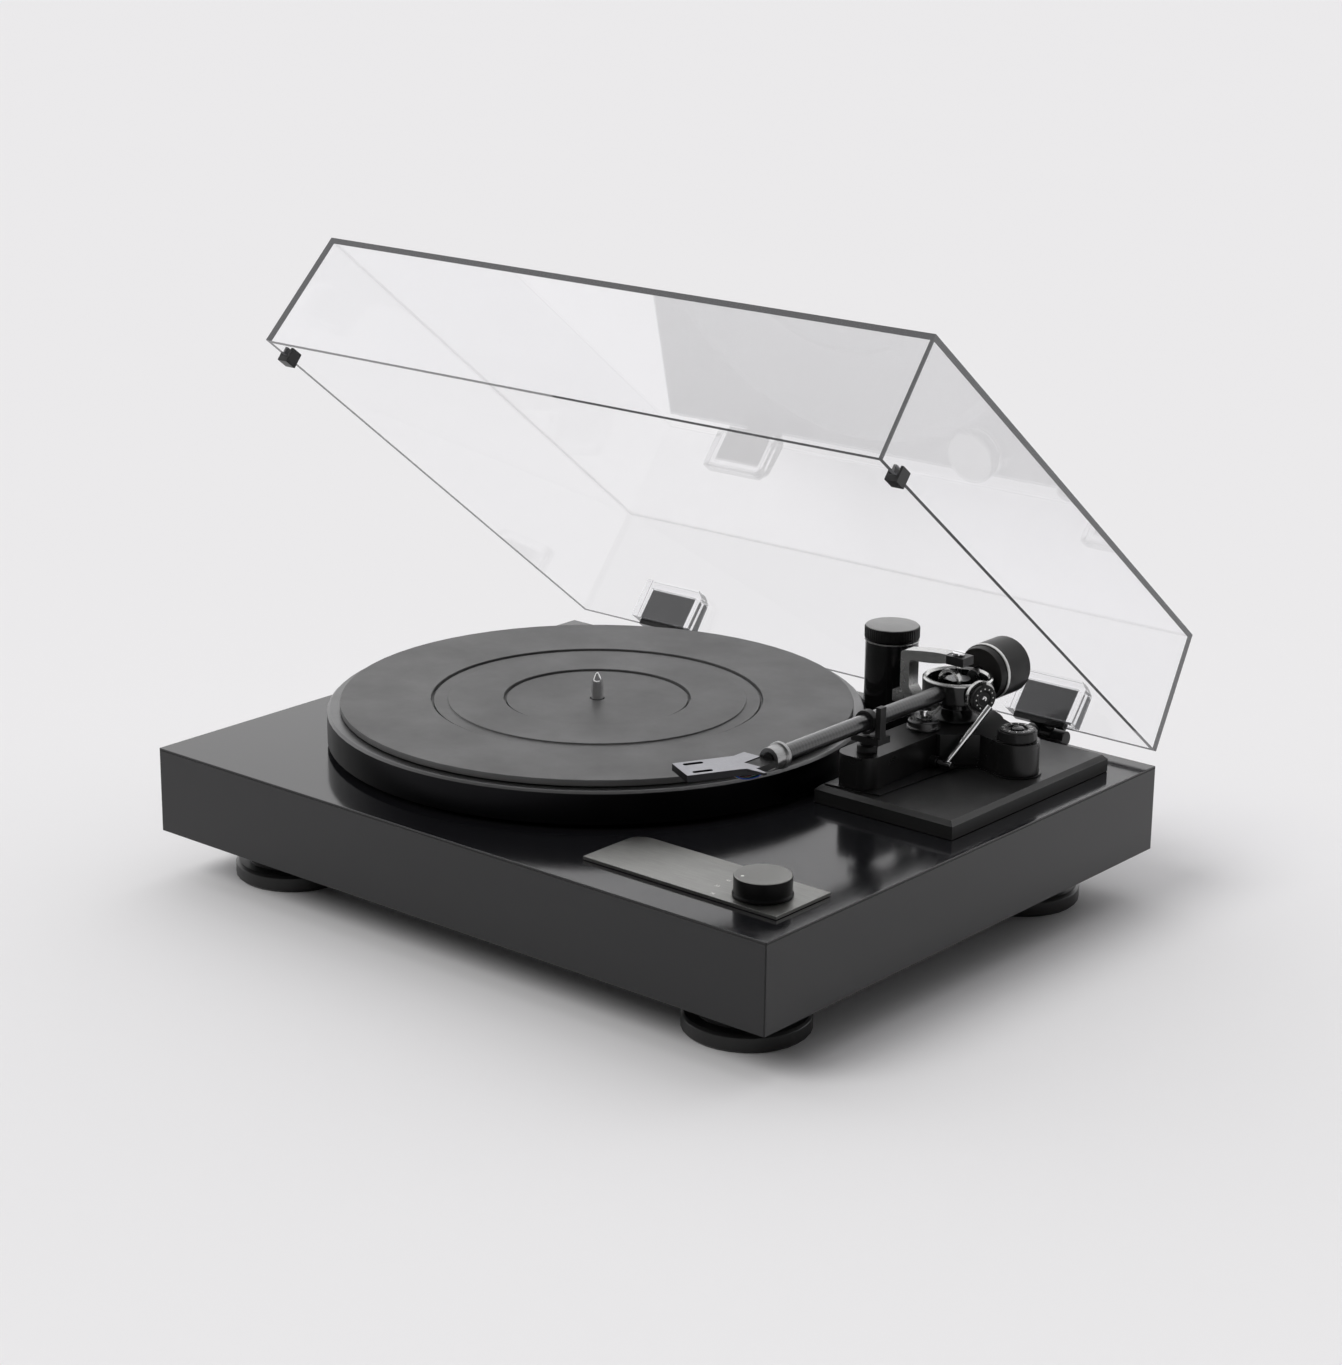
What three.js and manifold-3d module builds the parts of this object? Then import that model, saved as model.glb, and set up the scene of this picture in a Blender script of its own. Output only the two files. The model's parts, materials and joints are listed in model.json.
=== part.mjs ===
// Direct-drive record player with a straight tone arm and a clear hinged lid.
// Millimetres, +X to the player's right, +Y to the back, +Z up. The model is drawn about the middle of
// the plinth with the floor at zero, and its group is then moved so that the origin is under its middle.
import * as THREE from "three";
import { mergeVertices } from "three/addons/utils/BufferGeometryUtils.js";
import Module from "manifold-3d";

const wasm = await Module();
wasm.setup();

// ---------------------------------------------------------------- clearances
const SEAT = 0.3; // between pieces that rest on or sit in each other
const RUNNING = 0.3; // round a shaft that turns in a hole

// ---------------------------------------------------------------- plinth and feet
const PLINTH_WIDTH = 435;
const PLINTH_DEPTH = 349;
const PLINTH_HEIGHT = 49;
const PLINTH_WALL = 14;
const DECK_THICKNESS = 12;
const BASE_PLATE_THICKNESS = 3;
const FOOT_HEIGHT = 27;
const FOOT_PAD_RADIUS = 33.6;
const FOOT_PAD_HEIGHT = 10;
const FOOT_COLLAR_RADIUS = 26;
const FOOT_INSET = 52.5;

// ---------------------------------------------------------------- platter and motor
const PLATTER_X = -46;
const PLATTER_Y = 2.5;
const PLATTER_RADIUS = 152.5;
const PLATTER_CLEARANCE = 3;
const PLATTER_HEIGHT = 18.3;
const PLATTER_SKIRT = 10.5;
const PLATTER_WEB = 8;
const PLATTER_CHAMFER = 1.4;
const MAT_RADIUS = 145.2;
const MAT_THICKNESS = 3.6;
const MAT_RECESS = 0.9;
const MAT_SLIT_DEPTH = 2.4;
const MAT_SLIT_WIDTH = 1.5;
const GROOVE_OUTER = 94;
const GROOVE_INNER = 84.5;
const LABEL_RADIUS = 53;
const SPINDLE_RADIUS = 3.6;
const SPINDLE_RISE = 14.2; // above the mat
const SPINDLE_CONE = 5.8;
const ROTOR_OUTER = 60;
const ROTOR_INNER = 45;
const ROTOR_HEIGHT = 9;
const STATOR_RADIUS = 42;
const STATOR_POLES = 9;
const MOTOR_WELL_RADIUS = 66;
const BEARING_RADIUS = 12;
const BEARING_DEPTH = 55;

// ---------------------------------------------------------------- control plate
const CONTROL_WIDTH = 125;
const CONTROL_DEPTH = 43.5;
const CONTROL_THICKNESS = 1.8;
const CONTROL_RIGHT_INSET = 14;
const CONTROL_FRONT_INSET = 25.3;
const CONTROL_CORNER = 10;
const KNOB_RADIUS = 14.8;
const KNOB_HEIGHT = 10.6;
const KNOB_RIGHT_INSET = 23.3;
const KNOB_FRONT_INSET = 18.9;
const KNOB_POINTS_AT = 235;
const KNOB_SHAFT_RADIUS = 3;

// ---------------------------------------------------------------- arm board and pod
const BOARD_WIDTH = 90;
const BOARD_DEPTH = 149;
const BOARD_THICKNESS = 10;
const BOARD_CHAMFER = 2.5;
const BOARD_RIGHT_OF_PIVOT = 67.2;
const BOARD_FRONT = -1;
const POD_BASE = 1;
const POD_HEIGHT = 18;
const POD_BAR_WIDTH = 24;
const POD_BAR_FRONT = 4.5;
const POD_BAR_CORNER = 9;
const POD_HUB_RADIUS = 26;
const POD_FROM_BOARD_EDGE = 4;
const ANTISKATE_REACH = 46.1;
const ANTISKATE_FORWARD = 8.8;
const ANTISKATE_BOSS = 12.6;
const ANTISKATE_RADIUS = 10.8;
const ANTISKATE_HEIGHT = 6;

// ---------------------------------------------------------------- tone arm
const PIVOT_X = 135.3;
const PIVOT_Y = 97;
const ARM_RISE = 47; // arm axis above the deck
const TUBE_RADIUS = 4.6;
const TUBE_WALL = 1;
const TUBE_FRONT = 157; // collar face in front of the pivot
const RING_RADIUS = 19.6;
const RING_WALL = 3;
const RING_ABOVE = 6.6;
const RING_BELOW = 5.6;
const AXLE_SKEW = 20; // degrees of the rocking axle from square to the arm
const AXLE_RADIUS = 2;
const HUB_RADIUS = 7;
const SHAFT_RADIUS = 4;
const STRAP_RADIUS = 7;
const STRAP_SIZE = 1.6;
const STRAP_FORWARD = 7.5;
const FORCE_DIAL_RADIUS = 7.7;
const FORCE_DIAL_DEPTH = 3;
const FORCE_SCALE_RADIUS = 9.2;
const FORCE_SCALE_DEPTH = 2.4;
const STUB_RADIUS = 4;
const STUB_RAISE = 2.5;
const WEIGHT_RADIUS = 16.3;
const WEIGHT_BEHIND_RING = 1.1;
const WEIGHT_LENGTH = 28.5;
const WEIGHT_DISC = 4.6;
const WEIGHT_TRAVEL = 8;
const COLLAR_RADIUS = 7.3;
const COLLAR_NUT_RADIUS = 6.2;
const COLLAR_FLANGE = 2.6;
const COLLAR_LENGTH = 10.5;
const REST_FORWARD = 83.5;
const REST_SLEEVE_RADIUS = 6.6;
const REST_SLEEVE_LENGTH = 4.5;
const LIFT_FORWARD = 27.5;
const LIFT_SIDE = -2.8;
const LIFT_RADIUS = 8.6;
const LIFT_BAR_SWEEP = 52;
const LIFT_BAR_THICKNESS = 2;
const LIFT_HEAD_RADIUS = 3;
const LIFT_HEAD_THICKNESS = 1;
const LEVER_SIDE = 17.7;
const LEVER_FORWARD = 34.5;
const LEVER_SHAFT_RADIUS = 1.4;

// ---------------------------------------------------------------- headshell
const SHELL_OFFSET = 27.5; // degrees that the cartridge plate turns towards the spindle
const SHELL_WIDTH = 20.5;
const SHELL_LENGTH = 30;
const SHELL_THICKNESS = 3.8;
const SHELL_SLOT_PITCH = 12.7;
const SHELL_SLOT_LENGTH = 11;
const SHELL_SLOT_WIDTH = 2.9;
const SHELL_REACH = 203.5;
const SHELL_SIDE = -17.2;
const PLUG_LENGTH = 12.7;
const PLUG_WIDTH = 10;

// ---------------------------------------------------------------- yoke
const YOKE_REACH = 35.9;
const YOKE_BAR = 6;
const YOKE_DEPTH = 9;

// ---------------------------------------------------------------- accessory canister
const CANISTER_X = 64.7;
const CANISTER_Y = 132;
const CANISTER_RADIUS = 15.3;
const CANISTER_WALL = 1.6;
const CANISTER_HEIGHT = 53.5;
const CAP_RADIUS = 15.9;
const CAP_HEIGHT = 7.4;
const CAP_FLUTES = 24;

// ---------------------------------------------------------------- lid
const LID_WIDTH = 427.4;
const LID_DEPTH = 343.8;
const LID_HEIGHT = 70.7;
const LID_WALL = 3;
const LID_DRAFT = 4.7;
const LID_OPEN = 38.5;
const HINGE_BEHIND = 6.5; // hinge axis behind the plinth's back
const HINGE_SPREAD = 141.5;
const HINGE_RADIUS = 4.5;
const HINGE_WIDTH = 25;
const HINGE_PIN_RADIUS = 1.6;
const LID_ABOVE_AXIS = 4.4;
const LID_BEFORE_AXIS = 4.4;
const POCKET_WIDTH = 46;
const POCKET_HEIGHT = 26;
const POCKET_DEPTH = 9;
const TONGUE_WIDTH = 34;
const TONGUE_HEIGHT = 20;
const TONGUE_THICKNESS = 4;
const BUMPER_LENGTH = 8;
const BUMPER_FROM_FRONT = 19.8;

// ---------------------------------------------------------------- rear sockets
const REAR_PANEL_WIDTH = 150;
const REAR_PANEL_HEIGHT = 30;
const REAR_PANEL_THICKNESS = 2;
const REAR_PANEL_X = 25;
const SOCKET_RADIUS = 4.2;

// ---------------------------------------------------------------- levels and places worked out from them
const DECK = FOOT_HEIGHT + PLINTH_HEIGHT;
const CEILING = DECK - DECK_THICKNESS;
const BASE_PLATE_TOP = FOOT_HEIGHT + BASE_PLATE_THICKNESS;
const PLINTH_RIGHT = PLINTH_WIDTH / 2;
const PLINTH_BACK = PLINTH_DEPTH / 2;
const PLATTER_BOTTOM = DECK + PLATTER_CLEARANCE;
const PLATTER_TOP = PLATTER_BOTTOM + PLATTER_HEIGHT;
const WEB_BOTTOM = PLATTER_TOP - PLATTER_WEB;
const MAT_TOP = PLATTER_TOP + SEAT + MAT_THICKNESS;
const BEARING_TOP = WEB_BOTTOM - 0.8;
const BEARING_BOTTOM = BEARING_TOP - BEARING_DEPTH;
const BOARD_TOP = DECK + SEAT + BOARD_THICKNESS - SEAT;
const POD_BOTTOM = BOARD_TOP + POD_BASE + SEAT;
const POD_TOP = BOARD_TOP + POD_BASE + POD_HEIGHT;
const ARM_Z = DECK + ARM_RISE;
const WEIGHT_FRONT = RING_RADIUS + WEIGHT_BEHIND_RING;
const RING_TOP = ARM_Z + RING_ABOVE;
const RING_BOTTOM = ARM_Z - RING_BELOW;
const COLUMN_RADIUS = SHAFT_RADIUS + 5;
const ARM_UNDERSIDE = ARM_Z - TUBE_RADIUS;
const CONTROL_TOP = DECK + SEAT + CONTROL_THICKNESS;
const CONTROL_RIGHT = PLINTH_RIGHT - CONTROL_RIGHT_INSET;
const CONTROL_FRONT = -PLINTH_BACK + CONTROL_FRONT_INSET;
const KNOB_X = CONTROL_RIGHT - KNOB_RIGHT_INSET;
const KNOB_Y = CONTROL_FRONT + KNOB_FRONT_INSET;
const BOARD_RIGHT = PIVOT_X + BOARD_RIGHT_OF_PIVOT;
const BOARD_LEFT = BOARD_RIGHT - BOARD_WIDTH;
const HINGE_Y = PLINTH_BACK + HINGE_BEHIND;
const LEVER_Z = POD_BOTTOM + 3.4;

// ---------------------------------------------------------------- shape helpers
const radians = THREE.MathUtils.degToRad;

function solidOf(geometry) {
  const bare = geometry.index ? geometry.toNonIndexed() : geometry.clone();
  bare.deleteAttribute("normal");
  bare.deleteAttribute("uv");
  const merged = mergeVertices(bare, 1e-4);
  const place = merged.attributes.position;
  const source = merged.index.array;
  const corners = [0, 1, 2].map(() => new THREE.Vector3());
  const kept = [];
  let volume = 0;
  for (let i = 0; i < source.length; i += 3) {
    const [a, b, c] = [source[i], source[i + 1], source[i + 2]];
    if (a === b || b === c || c === a) continue;
    [a, b, c].forEach((index, k) => corners[k].fromBufferAttribute(place, index));
    volume += corners[0].dot(corners[1].clone().cross(corners[2]));
    kept.push(a, b, c);
  }
  if (volume < 0) kept.reverse();
  const triVerts = new Uint32Array(kept);
  const vertProperties = new Float32Array(place.array);
  return new wasm.Manifold(new wasm.Mesh({ numProp: 3, vertProperties, triVerts }));
}

function geometryOf(solid) {
  const mesh = solid.getMesh();
  const geometry = new THREE.BufferGeometry();
  geometry.setAttribute("position", new THREE.BufferAttribute(new Float32Array(mesh.vertProperties), 3));
  geometry.setIndex(new THREE.BufferAttribute(new Uint32Array(mesh.triVerts), 1));
  geometry.computeVertexNormals();
  return geometry;
}

const joined = (first, ...others) => others.reduce((sum, next) => sum.add(next), first);
const cut = (first, ...others) => others.reduce((rest, next) => rest.subtract(next), first);

function box(x0, x1, y0, y1, z0, z1) {
  const geometry = new THREE.BoxGeometry(x1 - x0, y1 - y0, z1 - z0);
  return solidOf(geometry.translate((x0 + x1) / 2, (y0 + y1) / 2, (z0 + z1) / 2));
}

// A box whose top is smaller than its bottom by the same inset on every side.
function frustum(x0, x1, y0, y1, z0, z1, inset) {
  const geometry = new THREE.BoxGeometry(x1 - x0, y1 - y0, z1 - z0);
  const place = geometry.attributes.position;
  for (let i = 0; i < place.count; i += 1) {
    if (place.getZ(i) < 0) continue;
    place.setX(i, place.getX(i) - Math.sign(place.getX(i)) * inset);
    place.setY(i, place.getY(i) - Math.sign(place.getY(i)) * inset);
  }
  return solidOf(geometry.translate((x0 + x1) / 2, (y0 + y1) / 2, (z0 + z1) / 2));
}

// A profile of [radius, height] points turned about an upright line at (x, y).
function turnedGeometry(profile, segments) {
  const points = profile.map(([radius, height]) => new THREE.Vector2(radius, height));
  return new THREE.LatheGeometry(points, segments).rotateX(Math.PI / 2);
}

function turned(profile, x = 0, y = 0, segments = 24) {
  return solidOf(turnedGeometry(profile, segments).translate(x, y, 0));
}

// The same profile turned about a line along Y, with heights running towards +Y.
function turnedAlongY(profile, x, z, segments = 24) {
  return solidOf(turnedGeometry(profile, segments).rotateX(-Math.PI / 2).translate(x, 0, z));
}

// The same profile turned about a line along X, with heights running towards +X.
function turnedAlongX(profile, y, z, segments = 16) {
  return solidOf(turnedGeometry(profile, segments).rotateY(Math.PI / 2).translate(0, y, z));
}

const pill = (radius, low, high) => [
  [0, low],
  [radius, low],
  [radius, high],
  [0, high],
];

const sleeve = (inner, outer, low, high) => [
  [inner, low],
  [outer, low],
  [outer, high],
  [inner, high],
  [inner, low],
];

const post = (radius, x, y, low, high, segments = 24) => turned(pill(radius, low, high), x, y, segments);

function outline(points) {
  return new THREE.Shape(points.map(([x, y]) => new THREE.Vector2(x, y)));
}

function prismGeometry(shape, depth, curveSegments = 6) {
  return new THREE.ExtrudeGeometry(shape, { depth, bevelEnabled: false, curveSegments });
}

function prism(shape, low, high, curveSegments) {
  return solidOf(prismGeometry(shape, high - low, curveSegments).translate(0, 0, low));
}

// An outline given as [y, z] points, carried from x0 to x1.
function prismAlongX(points, x0, x1) {
  const geometry = prismGeometry(outline(points), x1 - x0);
  return solidOf(geometry.rotateX(Math.PI / 2).rotateZ(Math.PI / 2).translate(x0, 0, 0));
}

// An outline given as [x, z] points, carried from y0 to y1.
function prismAlongY(shape, y0, y1, curveSegments) {
  const geometry = prismGeometry(shape, y1 - y0, curveSegments);
  return solidOf(geometry.rotateX(Math.PI / 2).translate(0, y1, 0));
}

// A round rod from one point to another that may taper.
function rod(from, to, fromRadius, toRadius, segments = 16) {
  const start = new THREE.Vector3(...from);
  const way = new THREE.Vector3(...to).sub(start);
  const geometry = new THREE.CylinderGeometry(toRadius, fromRadius, way.length(), segments);
  const turn = new THREE.Quaternion().setFromUnitVectors(new THREE.Vector3(0, 1, 0), way.clone().normalize());
  return solidOf(geometry.applyQuaternion(turn).translate(...start.addScaledVector(way, 0.5).toArray()));
}

// A rectangle with its own radius at each corner, from the low left corner round to the top left.
function roundedRectangle(x0, x1, y0, y1, radii) {
  const [lowLeft, lowRight, highRight, highLeft] = radii;
  const shape = new THREE.Shape();
  shape.moveTo(x0 + lowLeft, y0);
  shape.lineTo(x1 - lowRight, y0);
  if (lowRight) shape.absarc(x1 - lowRight, y0 + lowRight, lowRight, -Math.PI / 2, 0);
  shape.lineTo(x1, y1 - highRight);
  if (highRight) shape.absarc(x1 - highRight, y1 - highRight, highRight, 0, Math.PI / 2);
  shape.lineTo(x0 + highLeft, y1);
  if (highLeft) shape.absarc(x0 + highLeft, y1 - highLeft, highLeft, Math.PI / 2, Math.PI);
  shape.lineTo(x0, y0 + lowLeft);
  if (lowLeft) shape.absarc(x0 + lowLeft, y0 + lowLeft, lowLeft, Math.PI, Math.PI * 1.5);
  return shape;
}

// A round outline with shallow grip flutes.
function fluted(radius, flutes, depth) {
  const points = [];
  for (let i = 0; i < flutes * 2; i += 1) {
    const angle = (i * Math.PI) / flutes;
    const reach = i % 2 ? radius - depth : radius;
    points.push([reach * Math.cos(angle), reach * Math.sin(angle)]);
  }
  return outline(points);
}

// ---------------------------------------------------------------- finishes
const finish = (color, roughness, metalness, extra = {}) =>
  new THREE.MeshStandardMaterial({ color, roughness, metalness, ...extra });

const FINISH = {
  lacquer: finish(0x0a0a0c, 0.12, 0),
  matteBlack: finish(0x161616, 0.6, 0),
  glossBlack: finish(0x0b0b0b, 0.15, 0),
  rubber: finish(0x2c2c2d, 0.85, 0),
  footRubber: finish(0x0d0d0d, 0.45, 0),
  castBlack: finish(0x1b1b1a, 0.5, 0.2),
  platter: finish(0x2a2a2b, 0.35, 0.8),
  aluminium: finish(0xb9b9b6, 0.3, 1),
  chrome: finish(0xd8d8d6, 0.08, 1),
  steel: finish(0x8f9092, 0.35, 1),
  controlPlate: finish(0x3c3e3c, 0.35, 0.8),
  shell: finish(0x9a9aa2, 0.3, 0.9),
  carbon: finish(0x101010, 0.15, 0),
  acrylic: finish(0xf2f2f5, 0.03, 0, { transparent: true, opacity: 0.2 }),
  copper: finish(0xa9653a, 0.4, 0.9),
  board: finish(0x1d4a2c, 0.5, 0),
  magnet: finish(0x3a3a3c, 0.5, 0.3),
  gold: finish(0xc9a24a, 0.25, 1),
};

const player = new THREE.Group();

function add(name, solid, material, parent = player) {
  const mesh = new THREE.Mesh(geometryOf(solid), material);
  mesh.name = name;
  parent.add(mesh);
  return mesh;
}

// ---------------------------------------------------------------- plinth
function rearPanelSpan() {
  const middle = FOOT_HEIGHT + PLINTH_HEIGHT / 2 - 2;
  return {
    x0: REAR_PANEL_X - REAR_PANEL_WIDTH / 2,
    x1: REAR_PANEL_X + REAR_PANEL_WIDTH / 2,
    z0: middle - REAR_PANEL_HEIGHT / 2,
    z1: middle + REAR_PANEL_HEIGHT / 2,
  };
}

function plinth() {
  const [right, back] = [PLINTH_RIGHT, PLINTH_BACK];
  const body = box(-right, right, -back, back, FOOT_HEIGHT, DECK);
  const [insideX, insideY] = [right - PLINTH_WALL, back - PLINTH_WALL];
  const inside = box(-insideX, insideX, -insideY, insideY, FOOT_HEIGHT - 1, CEILING);
  const well = post(MOTOR_WELL_RADIUS, PLATTER_X, PLATTER_Y, CEILING - 1, DECK + 1, 40);
  const columnHole = post(COLUMN_RADIUS + SEAT, PIVOT_X, PIVOT_Y, CEILING - 1, DECK + 1);
  const switchHole = post(KNOB_SHAFT_RADIUS + 2, KNOB_X, KNOB_Y, CEILING - 1, DECK + 1, 24);
  const rear = rearPanelSpan();
  const window = box(rear.x0 + 5, rear.x1 - 5, insideY - 1, back + 1, rear.z0 + 5, rear.z1 - 5);
  const rebateY = back - REAR_PANEL_THICKNESS - SEAT;
  const rebate = box(rear.x0 - SEAT, rear.x1 + SEAT, rebateY, back + 1, rear.z0 - SEAT, rear.z1 + SEAT);
  return cut(body, inside, well, columnHole, switchHole, window, rebate);
}

function basePlate() {
  const halfX = PLINTH_RIGHT - PLINTH_WALL - SEAT;
  const halfY = PLINTH_BACK - PLINTH_WALL - SEAT;
  const plate = box(-halfX, halfX, -halfY, halfY, FOOT_HEIGHT, BASE_PLATE_TOP);
  const slots = [-2, -1, 0, 1, 2].map((i) =>
    box(i * 14 - 3, i * 14 + 3, -40, 0, FOOT_HEIGHT - 1, BASE_PLATE_TOP + 1),
  );
  return cut(plate, ...slots);
}

function foot(x, y) {
  const edge = 1.6;
  const profile = [
    [0, 0],
    [FOOT_PAD_RADIUS - edge, 0],
    [FOOT_PAD_RADIUS, edge],
    [FOOT_PAD_RADIUS, FOOT_PAD_HEIGHT - edge],
    [FOOT_PAD_RADIUS - edge, FOOT_PAD_HEIGHT],
    [FOOT_COLLAR_RADIUS, FOOT_PAD_HEIGHT],
    [FOOT_COLLAR_RADIUS, FOOT_HEIGHT - SEAT],
    [0, FOOT_HEIGHT - SEAT],
  ];
  return turned(profile, x, y, 32);
}

add("plinth", plinth(), FINISH.lacquer);
add("base_plate", basePlate(), FINISH.matteBlack);
for (const [end, y] of [["front", -PLINTH_BACK + FOOT_INSET], ["back", PLINTH_BACK - FOOT_INSET]]) {
  for (const [side, x] of [["left", -PLINTH_RIGHT + FOOT_INSET], ["right", PLINTH_RIGHT - FOOT_INSET]]) {
    add(`foot_${end}_${side}`, foot(x, y), FINISH.footRubber);
  }
}

// ---------------------------------------------------------------- motor
function motorBase() {
  const top = CEILING - SEAT;
  const ring = sleeve(BEARING_RADIUS + SEAT, MOTOR_WELL_RADIUS + 10, top - 3.4, top);
  return turned(ring, PLATTER_X, PLATTER_Y, 32);
}

function bearingHousing() {
  const flangeTop = CEILING - 3.4 - SEAT * 2;
  const bore = SPINDLE_RADIUS + RUNNING;
  const profile = [
    [0, BEARING_BOTTOM],
    [BEARING_RADIUS, BEARING_BOTTOM],
    [BEARING_RADIUS, flangeTop - 3.5],
    [BEARING_RADIUS * 2, flangeTop - 3.5],
    [BEARING_RADIUS * 2, flangeTop],
    [BEARING_RADIUS, flangeTop],
    [BEARING_RADIUS, BEARING_TOP],
    [bore, BEARING_TOP],
    [bore, BEARING_BOTTOM + 3],
    [0, BEARING_BOTTOM + 3],
  ];
  return turned(profile, PLATTER_X, PLATTER_Y, 20);
}

function motorBoard() {
  return turned(sleeve(BEARING_RADIUS + SEAT, ROTOR_OUTER, CEILING, CEILING + 1.6), PLATTER_X, PLATTER_Y, 32);
}

function statorCoils() {
  const low = CEILING + 1.6 + SEAT;
  const high = WEB_BOTTOM - 5;
  const core = post(STATOR_RADIUS - 14, PLATTER_X, PLATTER_Y, low, high, 24);
  const coils = [];
  for (let i = 0; i < STATOR_POLES; i += 1) {
    const angle = (i * 2 * Math.PI) / STATOR_POLES;
    const reach = STATOR_RADIUS - 8;
    const [x, y] = [PLATTER_X + reach * Math.cos(angle), PLATTER_Y + reach * Math.sin(angle)];
    coils.push(post(7.8, x, y, low + 3, high - 3, 8));
  }
  const bore = post(BEARING_RADIUS + SEAT, PLATTER_X, PLATTER_Y, low - 1, high + 1, 20);
  return cut(joined(core, ...coils), bore);
}

function rotor() {
  const high = WEB_BOTTOM - SEAT;
  return turned(sleeve(ROTOR_INNER, ROTOR_OUTER, high - ROTOR_HEIGHT, high), PLATTER_X, PLATTER_Y, 32);
}

add("motor_base", motorBase(), FINISH.steel);
add("bearing_housing", bearingHousing(), FINISH.gold);
add("motor_board", motorBoard(), FINISH.board);
add("stator_coils", statorCoils(), FINISH.copper);

// ---------------------------------------------------------------- platter, mat and spindle
function platter() {
  const bore = SPINDLE_RADIUS + SEAT;
  const skirt = PLATTER_RADIUS - PLATTER_SKIRT;
  const profile = [
    [bore, WEB_BOTTOM],
    [skirt, WEB_BOTTOM],
    [skirt, PLATTER_BOTTOM],
    [PLATTER_RADIUS, PLATTER_BOTTOM],
    [PLATTER_RADIUS, PLATTER_TOP - PLATTER_CHAMFER],
    [PLATTER_RADIUS - PLATTER_CHAMFER, PLATTER_TOP],
    [bore, PLATTER_TOP],
    [bore, WEB_BOTTOM],
  ];
  return turned(profile, PLATTER_X, PLATTER_Y, 80);
}

function mat() {
  const bore = SPINDLE_RADIUS + 2 * SEAT;
  const low = PLATTER_TOP + SEAT;
  const sunk = MAT_TOP - MAT_RECESS;
  const slit = MAT_TOP - MAT_SLIT_DEPTH;
  const profile = [
    [bore, low],
    [MAT_RADIUS, low],
    [MAT_RADIUS, MAT_TOP],
    [GROOVE_OUTER, MAT_TOP],
    [GROOVE_OUTER, slit],
    [GROOVE_OUTER - MAT_SLIT_WIDTH, slit],
    [GROOVE_OUTER - MAT_SLIT_WIDTH, sunk],
    [GROOVE_INNER, sunk],
    [GROOVE_INNER, MAT_TOP],
    [LABEL_RADIUS, MAT_TOP],
    [LABEL_RADIUS, slit],
    [LABEL_RADIUS - MAT_SLIT_WIDTH, slit],
    [LABEL_RADIUS - MAT_SLIT_WIDTH, sunk],
    [bore, sunk],
    [bore, low],
  ];
  return turned(profile, PLATTER_X, PLATTER_Y, 64);
}

function spindle() {
  const top = MAT_TOP + SPINDLE_RISE;
  const profile = [
    [0, BEARING_BOTTOM + 3 + SEAT],
    [SPINDLE_RADIUS, BEARING_BOTTOM + 3 + SEAT],
    [SPINDLE_RADIUS, top - SPINDLE_CONE],
    [0.7, top - 0.3],
    [0, top],
  ];
  return turned(profile, PLATTER_X, PLATTER_Y, 16);
}

add("platter", platter(), FINISH.platter);
add("platter_mat", mat(), FINISH.rubber);
add("spindle", spindle(), FINISH.chrome);
add("rotor_magnet", rotor(), FINISH.magnet);

// ---------------------------------------------------------------- control plate, knob and switch
function controlPlate() {
  const shape = roundedRectangle(
    CONTROL_RIGHT - CONTROL_WIDTH,
    CONTROL_RIGHT,
    CONTROL_FRONT,
    CONTROL_FRONT + CONTROL_DEPTH,
    [0, 0, 0, CONTROL_CORNER],
  );
  const hole = post(KNOB_SHAFT_RADIUS + RUNNING, KNOB_X, KNOB_Y, DECK - 1, CONTROL_TOP + 1, 24);
  return cut(prism(shape, DECK + SEAT, CONTROL_TOP), hole);
}

const KNOB_BOTTOM = CONTROL_TOP + SEAT;
const KNOB_TOP = KNOB_BOTTOM + KNOB_HEIGHT;
const SWITCH_TOP = CEILING - SEAT;
const SWITCH_SIDE = 24;
const SWITCH_HEIGHT = 14;
const SHAFT_END = SWITCH_TOP - 10;

function speedKnob() {
  const flare = 0.6;
  const profile = [
    [0, SHAFT_END],
    [KNOB_SHAFT_RADIUS, SHAFT_END],
    [KNOB_SHAFT_RADIUS, KNOB_BOTTOM],
    [KNOB_RADIUS + flare, KNOB_BOTTOM],
    [KNOB_RADIUS + flare, KNOB_BOTTOM + 1],
    [KNOB_RADIUS, KNOB_BOTTOM + 1.8],
    [KNOB_RADIUS, KNOB_TOP - 0.6],
    [KNOB_RADIUS - 0.6, KNOB_TOP],
    [0, KNOB_TOP],
  ];
  const angle = radians(KNOB_POINTS_AT);
  const reach = KNOB_RADIUS - 4.2;
  const dotX = KNOB_X + reach * Math.cos(angle);
  const dotY = KNOB_Y + reach * Math.sin(angle);
  return cut(turned(profile, KNOB_X, KNOB_Y, 32), post(1.1, dotX, dotY, KNOB_TOP - 0.5, KNOB_TOP + 1, 12));
}

function speedSwitch() {
  const half = SWITCH_SIDE / 2;
  const [left, front, low] = [KNOB_X - half, KNOB_Y - half, SWITCH_TOP - SWITCH_HEIGHT];
  const body = box(left, left + SWITCH_SIDE, front, front + SWITCH_SIDE, low, SWITCH_TOP);
  return cut(body, post(KNOB_SHAFT_RADIUS + RUNNING, KNOB_X, KNOB_Y, SHAFT_END - SEAT, SWITCH_TOP + 1, 24));
}

add("control_plate", controlPlate(), FINISH.controlPlate);
add("speed_knob", speedKnob(), FINISH.matteBlack);
add("speed_switch", speedSwitch(), FINISH.steel);

// ---------------------------------------------------------------- main circuit board and rear sockets
function mainBoard() {
  const low = BASE_PLATE_TOP + SEAT;
  const board = box(60, 180, -100, -30, low, low + 4);
  const capacitors = [0, 1, 2].map((i) => post(5.5, 76 + i * 14, -84, low + 2, low + 20, 16));
  const heatSink = box(140, 170, -60, -54, low + 2, low + 24);
  const chip = box(110, 124, -60, -46, low + 2, low + 6.5);
  return joined(board, ...capacitors, heatSink, chip);
}

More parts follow.
